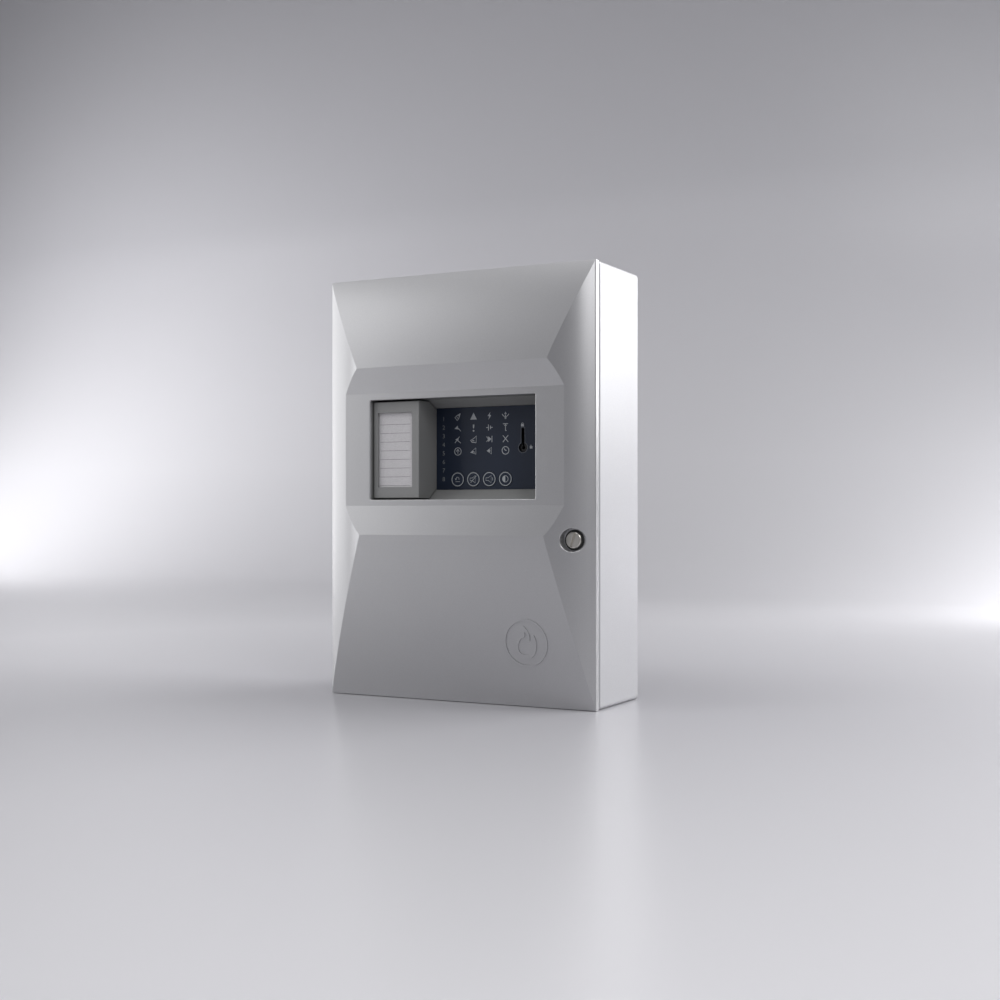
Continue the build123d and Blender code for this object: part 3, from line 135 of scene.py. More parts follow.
def finish_surface(tree, shader, colour, roughness, grain=1500.0, bump=0.12, relief=0.04 * MM,
                   spread=0.05, blotch=14.0, rough_spread=0.05, stretch=(1, 1, 1)):
    """Colour, roughness and relief from fine grain over broad, faint blotches (both in features a metre)."""
    point = object_point(tree, stretch)
    fine = noise(tree, point, grain)
    broad = noise(tree, point, blotch, detail=3.0)
    if not isinstance(colour, bpy.types.NodeSocket):
        colour = mix_colours(tree, remap(tree, broad, 0.0, 1.0), shade(colour, 1 - spread),
                             shade(colour, 1 + spread))
    speck = remap(tree, fine, 1 - spread, 1 + spread)
    grey = add_node(tree, "ShaderNodeCombineColor", Red=speck, Green=speck, Blue=speck)
    tree.links.new(mix_colours(tree, 1.0, colour, grey.outputs["Color"], "MULTIPLY"),
                   shader.inputs["Base Color"])
    mixed = math_node(tree, "ADD", math_node(tree, "MULTIPLY", fine, GRAIN_SHARE),
                      math_node(tree, "MULTIPLY", broad, 1 - GRAIN_SHARE))
    tree.links.new(remap(tree, mixed, roughness - rough_spread, roughness + rough_spread),
                   shader.inputs["Roughness"])
    if bump:
        relief_node = add_node(tree, "ShaderNodeBump", Strength=bump, Distance=relief, Height=fine)
        tree.links.new(relief_node.outputs["Normal"], shader.inputs["Normal"])


def plain_finish(name, colour, roughness, metallic=0.0, coat=0.0, **detail):
    """Material of one colour with grain, blotches and relief."""
    material, tree, shader = new_material(name, Metallic=metallic, Coat_Weight=coat,
                                          Coat_Roughness=0.25)
    finish_surface(tree, shader, colour, roughness, **detail)
    return material


# ---------------------------------------------------------------- special finishes
def paint(name, colour, metallic, roughness):
    """Satin metallic paint: fine flakes and a faint orange peel under a clear coat."""
    flake_count, patch_count, haze_count, peel_count = 4200.0, 9.0, 420.0, 650.0     # features a metre
    flake_spread, haze_spread = 0.06, 0.03
    material, tree, shader = new_material(name, Metallic=metallic, Coat_Weight=0.25,
                                          Coat_Roughness=0.3)
    point = object_point(tree)
    flakes = add_node(tree, "ShaderNodeTexVoronoi", Vector=point, Scale=flake_count)
    flake = remap(tree, flakes.outputs["Color"], 0.0, 1.0, 0.0, 1.0)
    base = mix_colours(tree, flake, shade(colour, 1 - flake_spread), shade(colour, 1 + flake_spread))
    patches = remap(tree, noise(tree, point, patch_count, detail=3.0), 0.0, 1.0)
    handled = mix_colours(tree, patches, (0.965, 0.965, 0.97, 1), (1.0, 1.0, 1.0, 1))
    tree.links.new(mix_colours(tree, 1.0, base, handled, "MULTIPLY"), shader.inputs["Base Color"])
    haze = noise(tree, point, haze_count)
    tree.links.new(remap(tree, haze, roughness - haze_spread, roughness + haze_spread),
                   shader.inputs["Roughness"])
    peel = add_node(tree, "ShaderNodeBump", Strength=0.06, Distance=0.05 * MM,
                    Height=noise(tree, point, peel_count, detail=3.0))
    tree.links.new(peel.outputs["Normal"], shader.inputs["Normal"])
    return material


def stripes(tree, axis, pitch, width):
    """1 inside thin lines that repeat along an axis, 0 between them; width is a share of the pitch."""
    parts = add_node(tree, "ShaderNodeSeparateXYZ", Vector=object_point(tree))
    place = math_node(tree, "FRACT", math_node(tree, "DIVIDE", parts.outputs[axis], pitch))
    return math_node(tree, "LESS_THAN", place, width)


def circuit_board(name):
    """Green solder mask over copper tracks that run in blocks, some upright and some level."""
    block_count = 75.0          # blocks of tracks in a metre
    track_width = 0.45          # as a share of the pitch
    empty_share = 0.35          # blocks with no tracks
    material, tree, shader = new_material(name, Coat_Weight=0.4, Coat_Roughness=0.15)
    point = object_point(tree)
    cells = add_node(tree, "ShaderNodeTexVoronoi", Vector=point, Scale=block_count)
    cells.distance = "CHEBYCHEV"
    cell = add_node(tree, "ShaderNodeSeparateColor", Color=cells.outputs["Color"])
    upright = stripes(tree, "X", LEAD_PITCH, track_width)
    level = stripes(tree, "Z", LEAD_PITCH, track_width)
    choice = math_node(tree, "GREATER_THAN", cell.outputs["Red"], 0.5)
    tracks = tree.nodes.new("ShaderNodeMix")
    fill_sockets(tree, tracks, {0: choice, 2: upright, 3: level})
    bare = math_node(tree, "GREATER_THAN", cell.outputs["Green"], empty_share)
    copper = math_node(tree, "MULTIPLY", tracks.outputs[0], bare)
    colour = mix_colours(tree, copper, (0.012, 0.11, 0.045, 1), (0.025, 0.2, 0.075, 1))
    finish_surface(tree, shader, colour, 0.32, grain=2200.0, bump=0.0)
    relief = add_node(tree, "ShaderNodeBump", Strength=0.3, Distance=0.04 * MM, Height=copper)
    tree.links.new(relief.outputs["Normal"], shader.inputs["Normal"])
    return material


def striped(name, axis, pitch, width, colours, roughness, relief=0.1 * MM, metallic=0.0):
    """Two-coloured lines across an object, cut a little into it."""
    material, tree, shader = new_material(name, Metallic=metallic)
    lines = stripes(tree, axis, pitch, width)
    colour = mix_colours(tree, lines, (*colours[0], 1), (*colours[1], 1))
    finish_surface(tree, shader, colour, roughness, bump=0.0)
    cut = add_node(tree, "ShaderNodeBump", Strength=0.6, Distance=relief,
                   Height=math_node(tree, "SUBTRACT", 1.0, lines))
    tree.links.new(cut.outputs["Normal"], shader.inputs["Normal"])
    return material


def clear_film(name, alpha):
    """Clear plastic with a little haze and fine scratches."""
    material, tree, shader = new_material(name, Alpha=alpha, IOR=1.45)
    finish_surface(tree, shader, (0.85, 0.87, 0.88), 0.18, grain=900.0, bump=0.04,
                   stretch=(1, 1, 0.15))
    return material


def brushed(name, colour, roughness, stretch):
    """Metal brushed along the direction in which its grain is stretched."""
    return plain_finish(name, colour, roughness, metallic=0.95, grain=2600.0, bump=0.3,
                        relief=0.02 * MM, spread=0.1, stretch=stretch)


# colour, roughness, and what differs from a plain fine-grained moulding, by the record's slots
MOULDINGS = {
    "black_plastic": ((0.012, 0.012, 0.013), 0.42, {}),
    "switch_rotor": ((0.006, 0.006, 0.007), 0.5, {}),
    "zone_lamp": ((0.30, 0.012, 0.012), 0.2, {"coat": 0.6, "bump": 0.02}),
    "status_lamp": ((0.42, 0.20, 0.015), 0.2, {"coat": 0.6, "bump": 0.02}),
    "terminal_green": ((0.02, 0.21, 0.075), 0.45, {"bump": 0.1}),
    "relay_case": ((0.02, 0.07, 0.26), 0.25, {"coat": 0.4, "bump": 0.04}),
    "capacitor_sleeve": ((0.012, 0.022, 0.055), 0.25, {"coat": 0.5, "bump": 0.03}),
    "regulator_case": ((0.02, 0.02, 0.02), 0.5, {}),
    "battery_case": ((0.035, 0.038, 0.045), 0.5, {"grain": 2200.0, "bump": 0.3}),
    "mains_moulding": ((0.46, 0.46, 0.43), 0.4, {}),
    "wire_red": ((0.38, 0.014, 0.012), 0.38, {"coat": 0.2}),
    "wire_black": ((0.012, 0.012, 0.012), 0.38, {"coat": 0.2}),
    "wire_brown": ((0.11, 0.04, 0.014), 0.38, {"coat": 0.2}),
    "wire_yellow": ((0.52, 0.38, 0.02), 0.38, {"coat": 0.2}),
    "bezel_plastic": ((0.25, 0.252, 0.25), 0.5, {"grain": 1700.0, "bump": 0.3, "relief": 0.06 * MM}),
    "fascia_film": ((0.0085, 0.0165, 0.037), 0.34, {"grain": 1300.0, "bump": 0.1}),
    "key_film": ((0.009, 0.0175, 0.039), 0.30, {"grain": 1300.0, "bump": 0.08}),
    "label_paper": ((0.62, 0.595, 0.61), 0.75, {"grain": 700.0, "bump": 0.15, "spread": 0.04,
                                                "stretch": (1, 1, 0.3)}),
}

# colour, roughness, and the scale of the grain along each axis
METALS = {
    "lock_metal": ((0.62, 0.6, 0.56), 0.3, (1, 1, 0.04)),
    "zinc_steel": ((0.55, 0.56, 0.57), 0.34, (0.06, 1, 1)),
    "cast_zinc": ((0.42, 0.42, 0.43), 0.42, (1, 1, 1)),
    "tinned_brass": ((0.6, 0.56, 0.47), 0.3, (1, 1, 0.05)),
    "bare_aluminium": ((0.6, 0.6, 0.61), 0.36, (1, 0.03, 1)),
}

finishes = {
    "cover_paint": paint("cover_paint_satin", (0.535, 0.535, 0.545), 0.72, 0.32),
    "box_paint": paint("box_paint_satin", (0.58, 0.58, 0.6), 0.35, 0.42),
    "board_laminate": circuit_board("board_solder_mask"),
    "clear_plastic": clear_film("label_clear_film", 0.12),
    "fuse_glass": clear_film("fuse_glass_clear", 0.45),
    "lamination": striped("lamination_edges", "Y", 0.5 * MM, 0.3,
                          ((0.10, 0.10, 0.11), (0.03, 0.03, 0.032)), 0.45, metallic=0.7),
    "coil_tape": striped("coil_tape_turns", "Z", 4.5 * MM, 0.1,
                         ((0.5, 0.36, 0.03), (0.3, 0.2, 0.02)), 0.35),
    "ribbon_grey": striped("ribbon_conductors", "X", LEAD_PITCH, 0.22,
                           ((0.34, 0.35, 0.37), (0.14, 0.15, 0.16)), 0.45),
    "wire_earth": striped("earth_stripes", "X", 1.6 * MM, 0.45,
                          ((0.42, 0.4, 0.02), (0.02, 0.2, 0.04)), 0.38, relief=0.01 * MM),
}
for slot, (colour, roughness, detail) in MOULDINGS.items():
    finishes[slot] = plain_finish(slot + "_moulded", colour, roughness, **detail)
for slot, (colour, roughness, stretch) in METALS.items():
    finishes[slot] = brushed(slot + "_worked", colour, roughness, stretch)

for part in frame["record"]["subparts"]:
    mesh = frame["nodes"][part["node"]].data
    for index in range(max(1, len(mesh.materials))):
        if mesh.materials:
            mesh.materials[index] = finishes[part["material_slot"]]
        else:
            mesh.materials.append(finishes[part["material_slot"]])


# ---------------------------------------------------------------- printed marks
INK_HEIGHT = 0.05 * MM
INK_SINK = 0.01 * MM        # how far a mark is let into the face under it
CAP_HEIGHT = 0.7            # height of a numeral as a share of its text size


def arc(x, z, radius, start, end, steps=20):
    """Points of an arc, angles in degrees from +x towards +z."""
    angles = [math.radians(start + (end - start) * i / steps) for i in range(steps + 1)]
    return [(x + radius * math.cos(a), z + radius * math.sin(a)) for a in angles]


def ring(x, z, radius):
    """Closed circle."""
    return arc(x, z, radius, 0, 360, 36)


def closed(*points):
    """Closed outline."""
    return [*points, points[0]]


# Symbols in a square from -1 to 1, as (lines, filled outlines)
HORN = closed((-0.85, -0.3), (-0.25, -0.3), (0.5, -0.85), (0.5, 0.85), (-0.25, 0.3), (-0.85, 0.3))
CROSS = [[(-0.8, -0.9), (0.8, 0.9)], [(-0.8, 0.9), (0.8, -0.9)]]
SYMBOLS = {
    "sounder": ([closed((-0.9, -0.15), (-0.2, -0.95), (0.2, -0.6), (-0.5, 0.2)),
                 [(0.2, -0.6), (0.75, 0.9)], [(-0.5, 0.2), (0.75, 0.9)]],
                [((0.1, 0.35), (0.75, 0.9), (0.55, -0.1))]),
    "fire": ([], [((-1.0, -0.85), (1.0, -0.85), (0.0, 1.0))]),
    "power": ([], [((0.25, 1.0), (-0.55, -0.05), (-0.05, -0.05), (-0.3, -1.0), (0.55, 0.2),
                    (0.05, 0.2))]),
    "earth": ([[(0, 0.2), (0, -1.0)], [(-1, 0.35), (-0.55, -0.2), (0, -0.4), (0.55, -0.2),
                                       (1, 0.35)], [(-0.35, -0.7), (0.35, -0.7)]],
              [((-0.35, 0.3), (0.35, 0.3), (0, 0.95))]),
    "relay": ([[(-0.6, 0.1), (0.25, -0.1), (0.9, -0.75)]],
              [((-1.0, -0.1), (-0.1, 0.75), (0.15, -0.25))]),
    "fault": ([[(0, -0.1), (0, 0.9)], [(0.06, -0.05), (0.14, 0.9)], [(-0.06, -0.05), (-0.14, 0.9)]],
              [ring(0, -0.75, 0.24)[:-1]]),
    "battery": ([[(-0.95, 0), (-0.3, 0)], [(-0.3, -0.8), (-0.3, 0.8)], [(0.3, -0.45), (0.3, 0.45)],
                 [(0.3, 0), (0.95, 0)]], []),
    "mast": ([[(-0.75, 0.85), (0.75, 0.85)], [(-0.4, 0.45), (0.4, 0.45)], [(0, 0.85), (0, -0.95)],
              [(0, -0.95), (0.3, -0.95)]], []),
    "relay_off": ([[(-0.5, 0.15), (0.9, -0.85)], [(-0.9, -0.8), (0.5, 0.9)]],
                  [((-0.8, 0.1), (0.25, 0.6), (0.1, -0.4))]),
    "bell": ([closed((-0.9, -0.2), (0.1, 0.3), (0.85, 0.95), (0.75, -0.9), (0.1, -0.75),
                     (-0.45, -0.75)), [(-0.5, -0.35), (0.2, -0.3)]], []),
    "output": ([[(0.75, -0.85), (0.75, 0.85)], [(-0.85, 0.7), (-0.3, 0.0), (-0.85, -0.7)]],
               [((-0.35, -0.75), (0.6, 0.0), (-0.35, 0.75))]),
    "disabled": (CROSS, []),
    "monitor": ([ring(0, 0, 1.0), [(0, -0.6), (0, 0.6)], [(-0.45, 0), (0, 0.6)],
                 [(0.45, 0), (0, 0.6)]], []),
    "sounder_fault": ([closed((-0.9, -0.35), (0.7, -0.8), (0.7, 0.85)), [(-0.3, -0.1), (0.35, -0.3)]],
                      [((-0.9, -0.35), (-0.15, -0.55), (-0.15, 0.15))]),
    "sounder_off": ([closed((-0.7, 0.0), (0.6, -0.85), (0.6, 0.85)), [(0.15, -0.3), (0.15, 0.3)]],
                    [((-0.7, 0.0), (0.0, -0.46), (0.0, 0.46))]),
    "delay": ([ring(0, 0, 1.0), [(0, 0), (-0.45, 0.5)], [(0, 0), (0.3, 0.0)]], []),
}
STATUS_ROWS = (("sounder", "fire", "power", "earth"),
               ("relay", "fault", "battery", "mast"),
               ("relay_off", "bell", "output", "disabled"),
               ("monitor", "sounder_fault", "sounder_off", "delay"))
KEY_SYMBOLS = {
    "reset_key": ([arc(-0.05, 0.1, 0.42, -20, 175), [(-0.55, -0.5), (0.6, -0.5)]],
                  [((-0.75, 0.2), (-0.2, 0.2), (-0.47, -0.22))]),
    "silence_key": ([HORN, [(-0.7, -0.75), (0.8, 0.8)]], []),
    "sounder_key": ([HORN, arc(0.45, 0, 0.45, -45, 45, 8)], []),
    "lamp_test_key": ([ring(0, 0, 0.72)], [arc(0, 0, 0.72, 90, 270)]),
}
PADLOCK = ([arc(0, 0.25, 0.42, 0, 180, 10)], [((-0.7, -0.9), (0.7, -0.9), (0.7, 0.25), (-0.7, 0.25))])
PADLOCK_OPEN = ([arc(-0.1, 0.3, 0.42, 30, 180, 10)], PADLOCK[1])


def placed(symbol, x, z, half):
    """A symbol's lines and fills at a place on the face, with the given half size."""
    def move(points):
        return [(x + half * u, z + half * v) for u, v in points]
    return [move(line) for line in symbol[0]], [move(fill) for fill in symbol[1]]


def merge(marks):
    """Lines and fills of several symbols together."""
    marks = list(marks)
    return [line for mark in marks for line in mark[0]], [fill for mark in marks for fill in mark[1]]


def mesh_object(name, mesh, material, body):
    """Scene object for a finished mesh, riding on a body."""
    piece = bpy.data.objects.new(name, mesh)
    bpy.context.scene.collection.objects.link(piece)
    mesh.materials.clear()
    mesh.materials.append(material)
    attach(piece, body)
    return piece


def curve_mesh(curve):
    """Mesh of a curve or text datablock."""
    holder = bpy.data.objects.new("holder", curve)
    bpy.context.scene.collection.objects.link(holder)
    mesh = bpy.data.meshes.new_from_object(holder.evaluated_get(
        bpy.context.evaluated_depsgraph_get()))
    bpy.data.objects.remove(holder)
    return mesh


def ink(name, marks, y, line, body, material):
    """Thin raised print on a face that looks towards -Y: round-ended lines and filled outlines."""
    lines, fills = marks
    curve = bpy.data.curves.new(name, "CURVE")
    curve.dimensions = "3D"
    curve.bevel_depth = line / 2
    curve.bevel_resolution = 2
    curve.use_fill_caps = True
    for points in lines:
        is_loop = points[0] == points[-1] or (
            len(points) > 3 and math.dist(points[0], points[-1]) < line / 10)
        kept = points[:-1] if is_loop else points
        spline = curve.splines.new("POLY")
        spline.points.add(len(kept) - 1)
        for target, (x, z) in zip(spline.points, kept):
            target.co = (x, 0, z, 1)
        spline.use_cyclic_u = is_loop
    mesh = curve_mesh(curve) if lines else bpy.data.meshes.new(name)
    shell = bmesh.new()
    shell.from_mesh(mesh)
    flatten = 2 * INK_HEIGHT / line
    for vertex in shell.verts:
        vertex.co.y *= flatten
    for points in fills:
        near, far = ([shell.verts.new((x, side, z)) for x, z in points]
                     for side in (-INK_HEIGHT, INK_HEIGHT))
        shell.faces.new(near)
        shell.faces.new(far)
        for i, vertex in enumerate(near):
            shell.faces.new((near[i - 1], vertex, far[i], far[i - 1]))
    bmesh.ops.recalc_face_normals(shell, faces=shell.faces)
    for vertex in shell.verts:
        vertex.co.y += y + INK_SINK
    shell.to_mesh(mesh)
    shell.free()
    return mesh_object(name, mesh, material, body)


def numerals(name, entries, y, height, body, material):
    """Printed numerals on a face that looks towards -Y; entries are (numeral, x, z)."""
    shell = bmesh.new()
    for numeral, x, z in entries:
        text = bpy.data.curves.new(name, "FONT")
        text.body = numeral
        text.size = height / CAP_HEIGHT
        text.align_x = "CENTER"
        text.align_y = "CENTER"
        text.extrude = INK_HEIGHT
        text.resolution_u = 3
        mesh = curve_mesh(text)
        mesh.transform(Matrix.Translation((x, y, z)) @ Matrix.Rotation(math.pi / 2, 4, "X"))
        shell.from_mesh(mesh)
    mesh = bpy.data.meshes.new(name)
    shell.to_mesh(mesh)
    shell.free()
    return mesh_object(name, mesh, material, body)


pale_ink = plain_finish("pale_ink", (0.42, 0.44, 0.46), 0.5, grain=2400.0, bump=0.05, spread=0.08)
dull_ink = plain_finish("dull_ink", (0.22, 0.23, 0.235), 0.5, grain=2400.0, bump=0.05, spread=0.08)
rule_ink = plain_finish("rule_ink", (0.13, 0.12, 0.125), 0.6, grain=2400.0, bump=0.05, spread=0.1)


# ---------------------------------------------------------------- marks on the display and the keys
ZONES = 8
LAMP_RADIUS = 1.5 * MM
SYMBOL_HALF = 3.1 * MM      # half the size of a status symbol
SYMBOL_LINE = 0.7 * MM
NUMERAL_HEIGHT = 3.6 * MM
KEY_RADIUS = 6.1 * MM
KEY_MARGIN = 0.3 * MM       # from a key's rim to its printed ring
KEY_RING_LINE = 0.75 * MM
KEY_SYMBOL_HALF = 3.6 * MM
KEY_SYMBOL_LINE = 0.5 * MM
KEYWAY_GAP = 0.5 * MM       # from the keyway to the outline round it
KEYWAY_LINE = 0.3 * MM
ROTOR_PLAY = 0.2 * MM
SLOT_HALF = 1.3 * MM        # half the width of the keyway's slot
SWITCH_WALL = 2.2 * MM      # from the slot's top to the top of the switch body
PADLOCK_LINE = 0.4 * MM


def lamp_places(low, high, count):
    """Middles of lamps in a row, from the low to the high end of their box."""
    first, last = low + LAMP_RADIUS, high - LAMP_RADIUS
    return [first + (last - first) * i / (count - 1) for i in range(count)]


def status_marks():
    """A symbol over each status lamp."""
    low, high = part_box("status_lamps")
    columns = lamp_places(low.x, high.x, 4)
    rows = lamp_places(low.z, high.z, 4)[::-1]
    ink("status_symbols",
        merge(placed(SYMBOLS[name], x, z, SYMBOL_HALF)
              for z, names in zip(rows, STATUS_ROWS) for x, name in zip(columns, names)),
        fascia_y, SYMBOL_LINE, "cabinet", pale_ink)


def zone_marks():
    """Numerals 1 to 8 over the zone lamps, from the top down."""
    low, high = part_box("zone_lamps")
    places = lamp_places(low.z, high.z, ZONES)[::-1]
    numerals("zone_numerals", [(str(i + 1), (low.x + high.x) / 2, z) for i, z in enumerate(places)],
             fascia_y, NUMERAL_HEIGHT, "cabinet", dull_ink)


def key_marks(key, symbol):
    """A ring near the rim of a key and the symbol inside it."""
    low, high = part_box(key)
    middle = (low + high) / 2
    circle = ([ring(middle.x, middle.z, KEY_RADIUS - KEY_MARGIN - KEY_RING_LINE / 2)], [])
    ink(key + "_ring", circle, low.y, KEY_RING_LINE, key, pale_ink)
    ink(key + "_symbol", placed(symbol, middle.x, middle.z, KEY_SYMBOL_HALF), low.y, KEY_SYMBOL_LINE,
        key, pale_ink)


def keyway_marks():
    """Outline round the keyway, and a padlock at each end of the key's turn."""
    low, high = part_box("key_switch_rotor")
    hub = (low + high) / 2
    slot_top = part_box("key_switch_body")[1].z - SWITCH_WALL
    radius = (high.x - low.x) / 2 + ROTOR_PLAY + KEYWAY_GAP
    half = SLOT_HALF + KEYWAY_GAP
    top = slot_top + KEYWAY_GAP
    start = 90 - math.degrees(math.asin(half / radius))
    round_part = arc(hub.x, hub.z, radius, start, -180 - start, 40)
    outline_points = closed((hub.x + half, top), *round_part, (hub.x - half, top))
    ink("keyway_outline", ([outline_points], []), fascia_y, KEYWAY_LINE, "cabinet",
        dull_ink)
    ink("access_symbols",
        merge((placed(PADLOCK, hub.x - 0.4 * MM, slot_top + 3.0 * MM, 1.9 * MM),
               placed(PADLOCK_OPEN, hub.x + 7.4 * MM, hub.z + 0.6 * MM, 1.7 * MM))),
        fascia_y, PADLOCK_LINE, "cabinet", pale_ink)


fascia_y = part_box("fascia_overlay")[0].y
status_marks()
zone_marks()
for key, symbol in KEY_SYMBOLS.items():
    key_marks(key, symbol)
keyway_marks()


# ---------------------------------------------------------------- label and board
RULE_PITCHES = 8.51         # pitches of the ruled lines in the height of the card
RULE_START = 1.33           # pitches from the card's top to the first line
RULE_ENDS = (0.8 * MM, 3.2 * MM)    # from the card's left and right edges
RULE_LINE = 0.35 * MM
OUTLINE_MARGIN = 1.0 * MM
OUTLINE_LINE = 0.25 * MM
TERMINAL_WAYS = 6
RESISTOR = (2.4 * MM, 1.6 * MM, 0.6 * MM)       # length, width and height of its body
END_CAP = (3.5 * MM, 1.5 * MM, 0.45 * MM)
RESISTOR_BEVEL = 0.08 * MM
RESISTOR_PITCH = 4.6 * MM   # in the row below the relays
RESISTOR_COUNT = 18
TERMINAL_DROP = 3.4 * MM    # from a terminal block down to its resistors
RELAY_DROP = 4.2 * MM       # from the relays down to the row of resistors
SIDE_STEP = 3 * MM          # from a chip to the resistors beside it, and where the relays' row starts


def islands(node):
    """Lowest and highest corner of each separate solid in a CAD node."""
    shell = bmesh.new()
    shell.from_mesh(frame["nodes"][node].data)
    bmesh.ops.remove_doubles(shell, verts=shell.verts, dist=0.001 * MM)
    waiting = set(shell.verts)
    boxes = []
    while waiting:
        frontier = [waiting.pop()]
        found = []
        while frontier:
            vertex = frontier.pop()
            found.append(vertex.co.copy())
            for edge in vertex.link_edges:
                neighbour = edge.other_vert(vertex)
                if neighbour in waiting:
                    waiting.remove(neighbour)
                    frontier.append(neighbour)
        boxes.append([Vector(side(point[i] for point in found) for i in range(3))
                      for side in (min, max)])
    shell.free()
    return sorted(boxes, key=lambda box: (box[0].x, box[0].z))


def outline(low, high, margin):
    """Closed rectangle a margin outside a box seen from the front."""
    x, z = (low.x - margin, high.x + margin), (low.z - margin, high.z + margin)
    return closed((x[0], z[0]), (x[1], z[0]), (x[1], z[1]), (x[0], z[1]))


def small_parts(name, places, size, y, slot):
    """Small blocks (x, z, is_upright) on the board, with bevelled edges."""
    shell = bmesh.new()
    for x, z, is_upright in places:
        wide, tall = (size[1], size[0]) if is_upright else (size[0], size[1])
        grid = Matrix.Translation((x, y - size[2] / 2, z)) @ Matrix.Diagonal((wide, size[2], tall, 1))
        bmesh.ops.create_cube(shell, size=1.0, matrix=grid)
    bmesh.ops.bevel(shell, geom=list(shell.edges), offset=RESISTOR_BEVEL, segments=1,
                    affect="EDGES")
    mesh = bpy.data.meshes.new(name)
    shell.to_mesh(mesh)
    shell.free()
    return mesh_object(name, mesh, finishes[slot], "cabinet")


def resistor_places():
    """Places (x, z, is_upright) below the terminals, below the relays and beside the chips."""
    places = []
    for low, high in islands("field_terminals"):
        places += [(low.x + (high.x - low.x) * (i + 0.5) / TERMINAL_WAYS, low.z - TERMINAL_DROP, True)
                   for i in range(TERMINAL_WAYS)]
    relays_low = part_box("relays")[0]
    places += [(relays_low.x + SIDE_STEP + i * RESISTOR_PITCH, relays_low.z - RELAY_DROP, True)
               for i in range(RESISTOR_COUNT)]
    for low, high in islands("chips"):
        places += [(x, low.z + (high.z - low.z) * j / 2, False)
                   for x in (low.x - SIDE_STEP, high.x + SIDE_STEP) for j in range(3)]
    return places


board_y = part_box("main_board")[0].y
board_ink = plain_finish("board_ink", (0.55, 0.56, 0.54), 0.5, grain=2400.0, bump=0.05, spread=0.06)
housings = [box for node in ("relays", "chips", "fuse_clips", "heat_sink") for box in islands(node)]
ink("board_outlines", ([outline(low, high, OUTLINE_MARGIN) for low, high in housings], []), board_y,
    OUTLINE_LINE, "cabinet", board_ink)
places = resistor_places()
small_parts("board_resistors", places, RESISTOR, board_y, "regulator_case")
small_parts("board_resistor_ends", places, END_CAP, board_y, "tinned_brass")

card_low, card_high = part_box("label_card")
row_pitch = (card_high.z - card_low.z) / RULE_PITCHES
rule_span = (card_low.x + RULE_ENDS[0], card_high.x - RULE_ENDS[1])
rules = [[(x, card_high.z - row_pitch * (i + RULE_START)) for x in rule_span] for i in range(ZONES)]
ink("label_rules", (rules, []), card_low.y, RULE_LINE, "cabinet", rule_ink)


# ---------------------------------------------------------------- floor and backdrop
def floor_finish():
    """Pale satin floor with painted shade: darker close to the panel as a painted contact shadow, and darker
    behind it and high on the backdrop as painted fall-off of the light.
    """
    # painted shade: the darker near tone is a painted contact shadow by the panel; the darker rear and high
    # tones paint the light falling off behind it and up the backdrop
    front_tone, rear_shade_tone = (0.7, 0.695, 0.72, 1), (0.56, 0.556, 0.58, 1)
    high_shade_tone, contact_shadow_tone = (0.4, 0.397, 0.42, 1), (0.42, 0.416, 0.44, 1)
    material, tree, shader = new_material("floor_satin", Roughness=0.3)
    point = object_point(tree)
    reach = add_node(tree, "ShaderNodeVectorMath", Vector=point)
    reach.operation = "LENGTH"
    parts = add_node(tree, "ShaderNodeSeparateXYZ", Vector=point)
    # masks of the painted shade: distance from the panel's middle, depth behind it, height up the backdrop
    contact_shadow_fade = remap(tree, reach.outputs["Value"], 0.0, 1.0, 0.25, 0.8)
    behind = remap(tree, parts.outputs["Y"], 0.0, 1.0, -0.2, 0.7)
    high_shade_mask = remap(tree, parts.outputs["Z"], 0.0, 1.0, 0.1, 0.8)
    open_shaded_tone = mix_colours(tree, high_shade_mask, mix_colours(tree, behind, front_tone, rear_shade_tone), high_shade_tone)
    tree.links.new(mix_colours(tree, contact_shadow_fade, contact_shadow_tone, open_shaded_tone), shader.inputs["Base Color"])
    return material


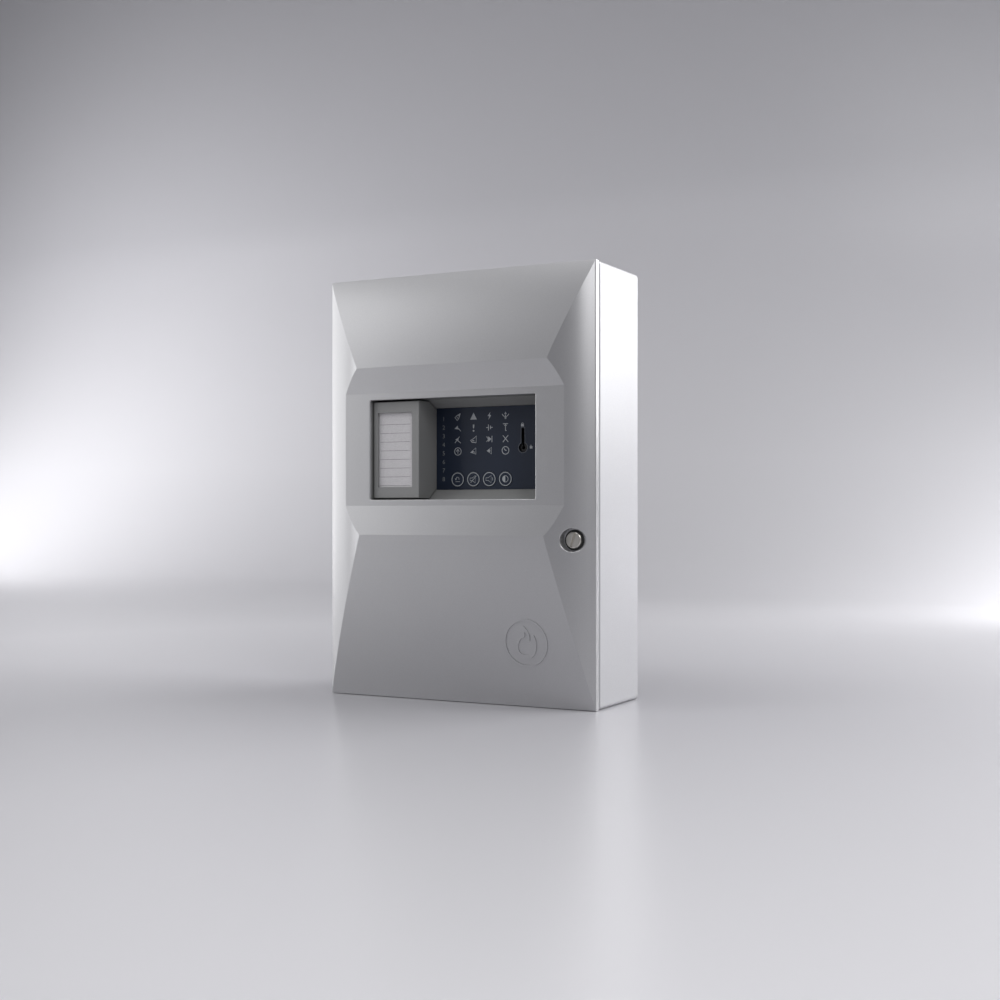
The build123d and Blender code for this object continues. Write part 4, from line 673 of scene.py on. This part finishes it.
def sweep_surface():
    """Floor that curves up into a backdrop well behind the panel."""
    half_width, near, bend, radius, top = 4.0, -4.0, 1.3, 0.9, 3.2
    turns = [math.radians(angle) for angle in range(5, 91, 5)]
    profile = [(near, 0.0), (bend, 0.0)]
    profile += [(bend + radius * math.sin(turn), radius * (1 - math.cos(turn))) for turn in turns]
    profile += [(bend + radius, top)]
    shell = bmesh.new()
    steps = [[shell.verts.new((x, y, z + FLOOR_Z)) for x in (-half_width, half_width)]
             for y, z in profile]
    for lower, upper in zip(steps, steps[1:]):
        shell.faces.new((lower[0], lower[1], upper[1], upper[0]))
    mesh = bpy.data.meshes.new("studio_floor")
    shell.to_mesh(mesh)
    shell.free()
    mesh.shade_smooth()
    mesh.materials.append(floor_finish())
    floor = bpy.data.objects.new("studio_floor", mesh)
    bpy.context.scene.collection.objects.link(floor)


sweep_surface()


# ---------------------------------------------------------------- camera and light
PANEL_MIDDLE = Vector((0, -0.05, 0))


def softbox(name, place, size, power, aim=PANEL_MIDDLE):
    """Rectangular white area light that faces a point."""
    light = bpy.data.lights.new(name, "AREA")
    light.shape = "RECTANGLE"
    light.size, light.size_y = size
    light.energy = power
    lamp = bpy.data.objects.new(name, light)
    bpy.context.scene.collection.objects.link(lamp)
    lamp.location = place
    lamp.rotation_euler = (aim - lamp.location).to_track_quat("-Z", "Y").to_euler()


softbox("left_softbox", (-1.55, -1.3, 0.55), (1.0, 1.7), 10)
softbox("left_rear_softbox", (-1.9, -0.1, 0.4), (1.2, 1.7), 9)
softbox("right_softbox", (1.05, 0.35, 0.85), (0.7, 0.5), 10)
softbox("right_rear_softbox", (0.95, 1.25, 0.72), (0.8, 1.2), 14)
softbox("right_front_strip", (1.15, -1.1, 0.84), (0.45, 1.0), 6.2)
softbox("top_softbox", (-0.2, -0.8, 1.7), (1.4, 0.9), 12)
softbox("left_backdrop_light", (-2.6, 0.9, 0.3), (0.8, 1.0), 26, aim=Vector((-1.9, 2.2, 0.0)))
softbox("low_backdrop_light", (0.7, 1.3, 0.04), (0.6, 0.2), 10, aim=Vector((-0.9, 2.2, 0.1)))

world = bpy.data.worlds.new("studio_world")
world.use_nodes = True
backlight = world.node_tree.nodes["Background"]
backlight.inputs["Color"].default_value = (0.72, 0.72, 0.78, 1)
backlight.inputs["Strength"].default_value = 0.19
bpy.context.scene.world = world
bpy.context.scene.view_settings.view_transform = "Standard"

camera_data = bpy.data.cameras.new("camera")
camera_data.sensor_width = 36.0
camera_data.lens = 51.3
camera_data.shift_x = 0.012
camera_data.shift_y = 0.013
camera = bpy.data.objects.new("camera", camera_data)
camera.location = (0.5666, -1.0948, -0.0215)
camera.rotation_euler = (math.pi / 2, 0, math.radians(28.07))
bpy.context.scene.collection.objects.link(camera)
bpy.context.scene.camera = camera
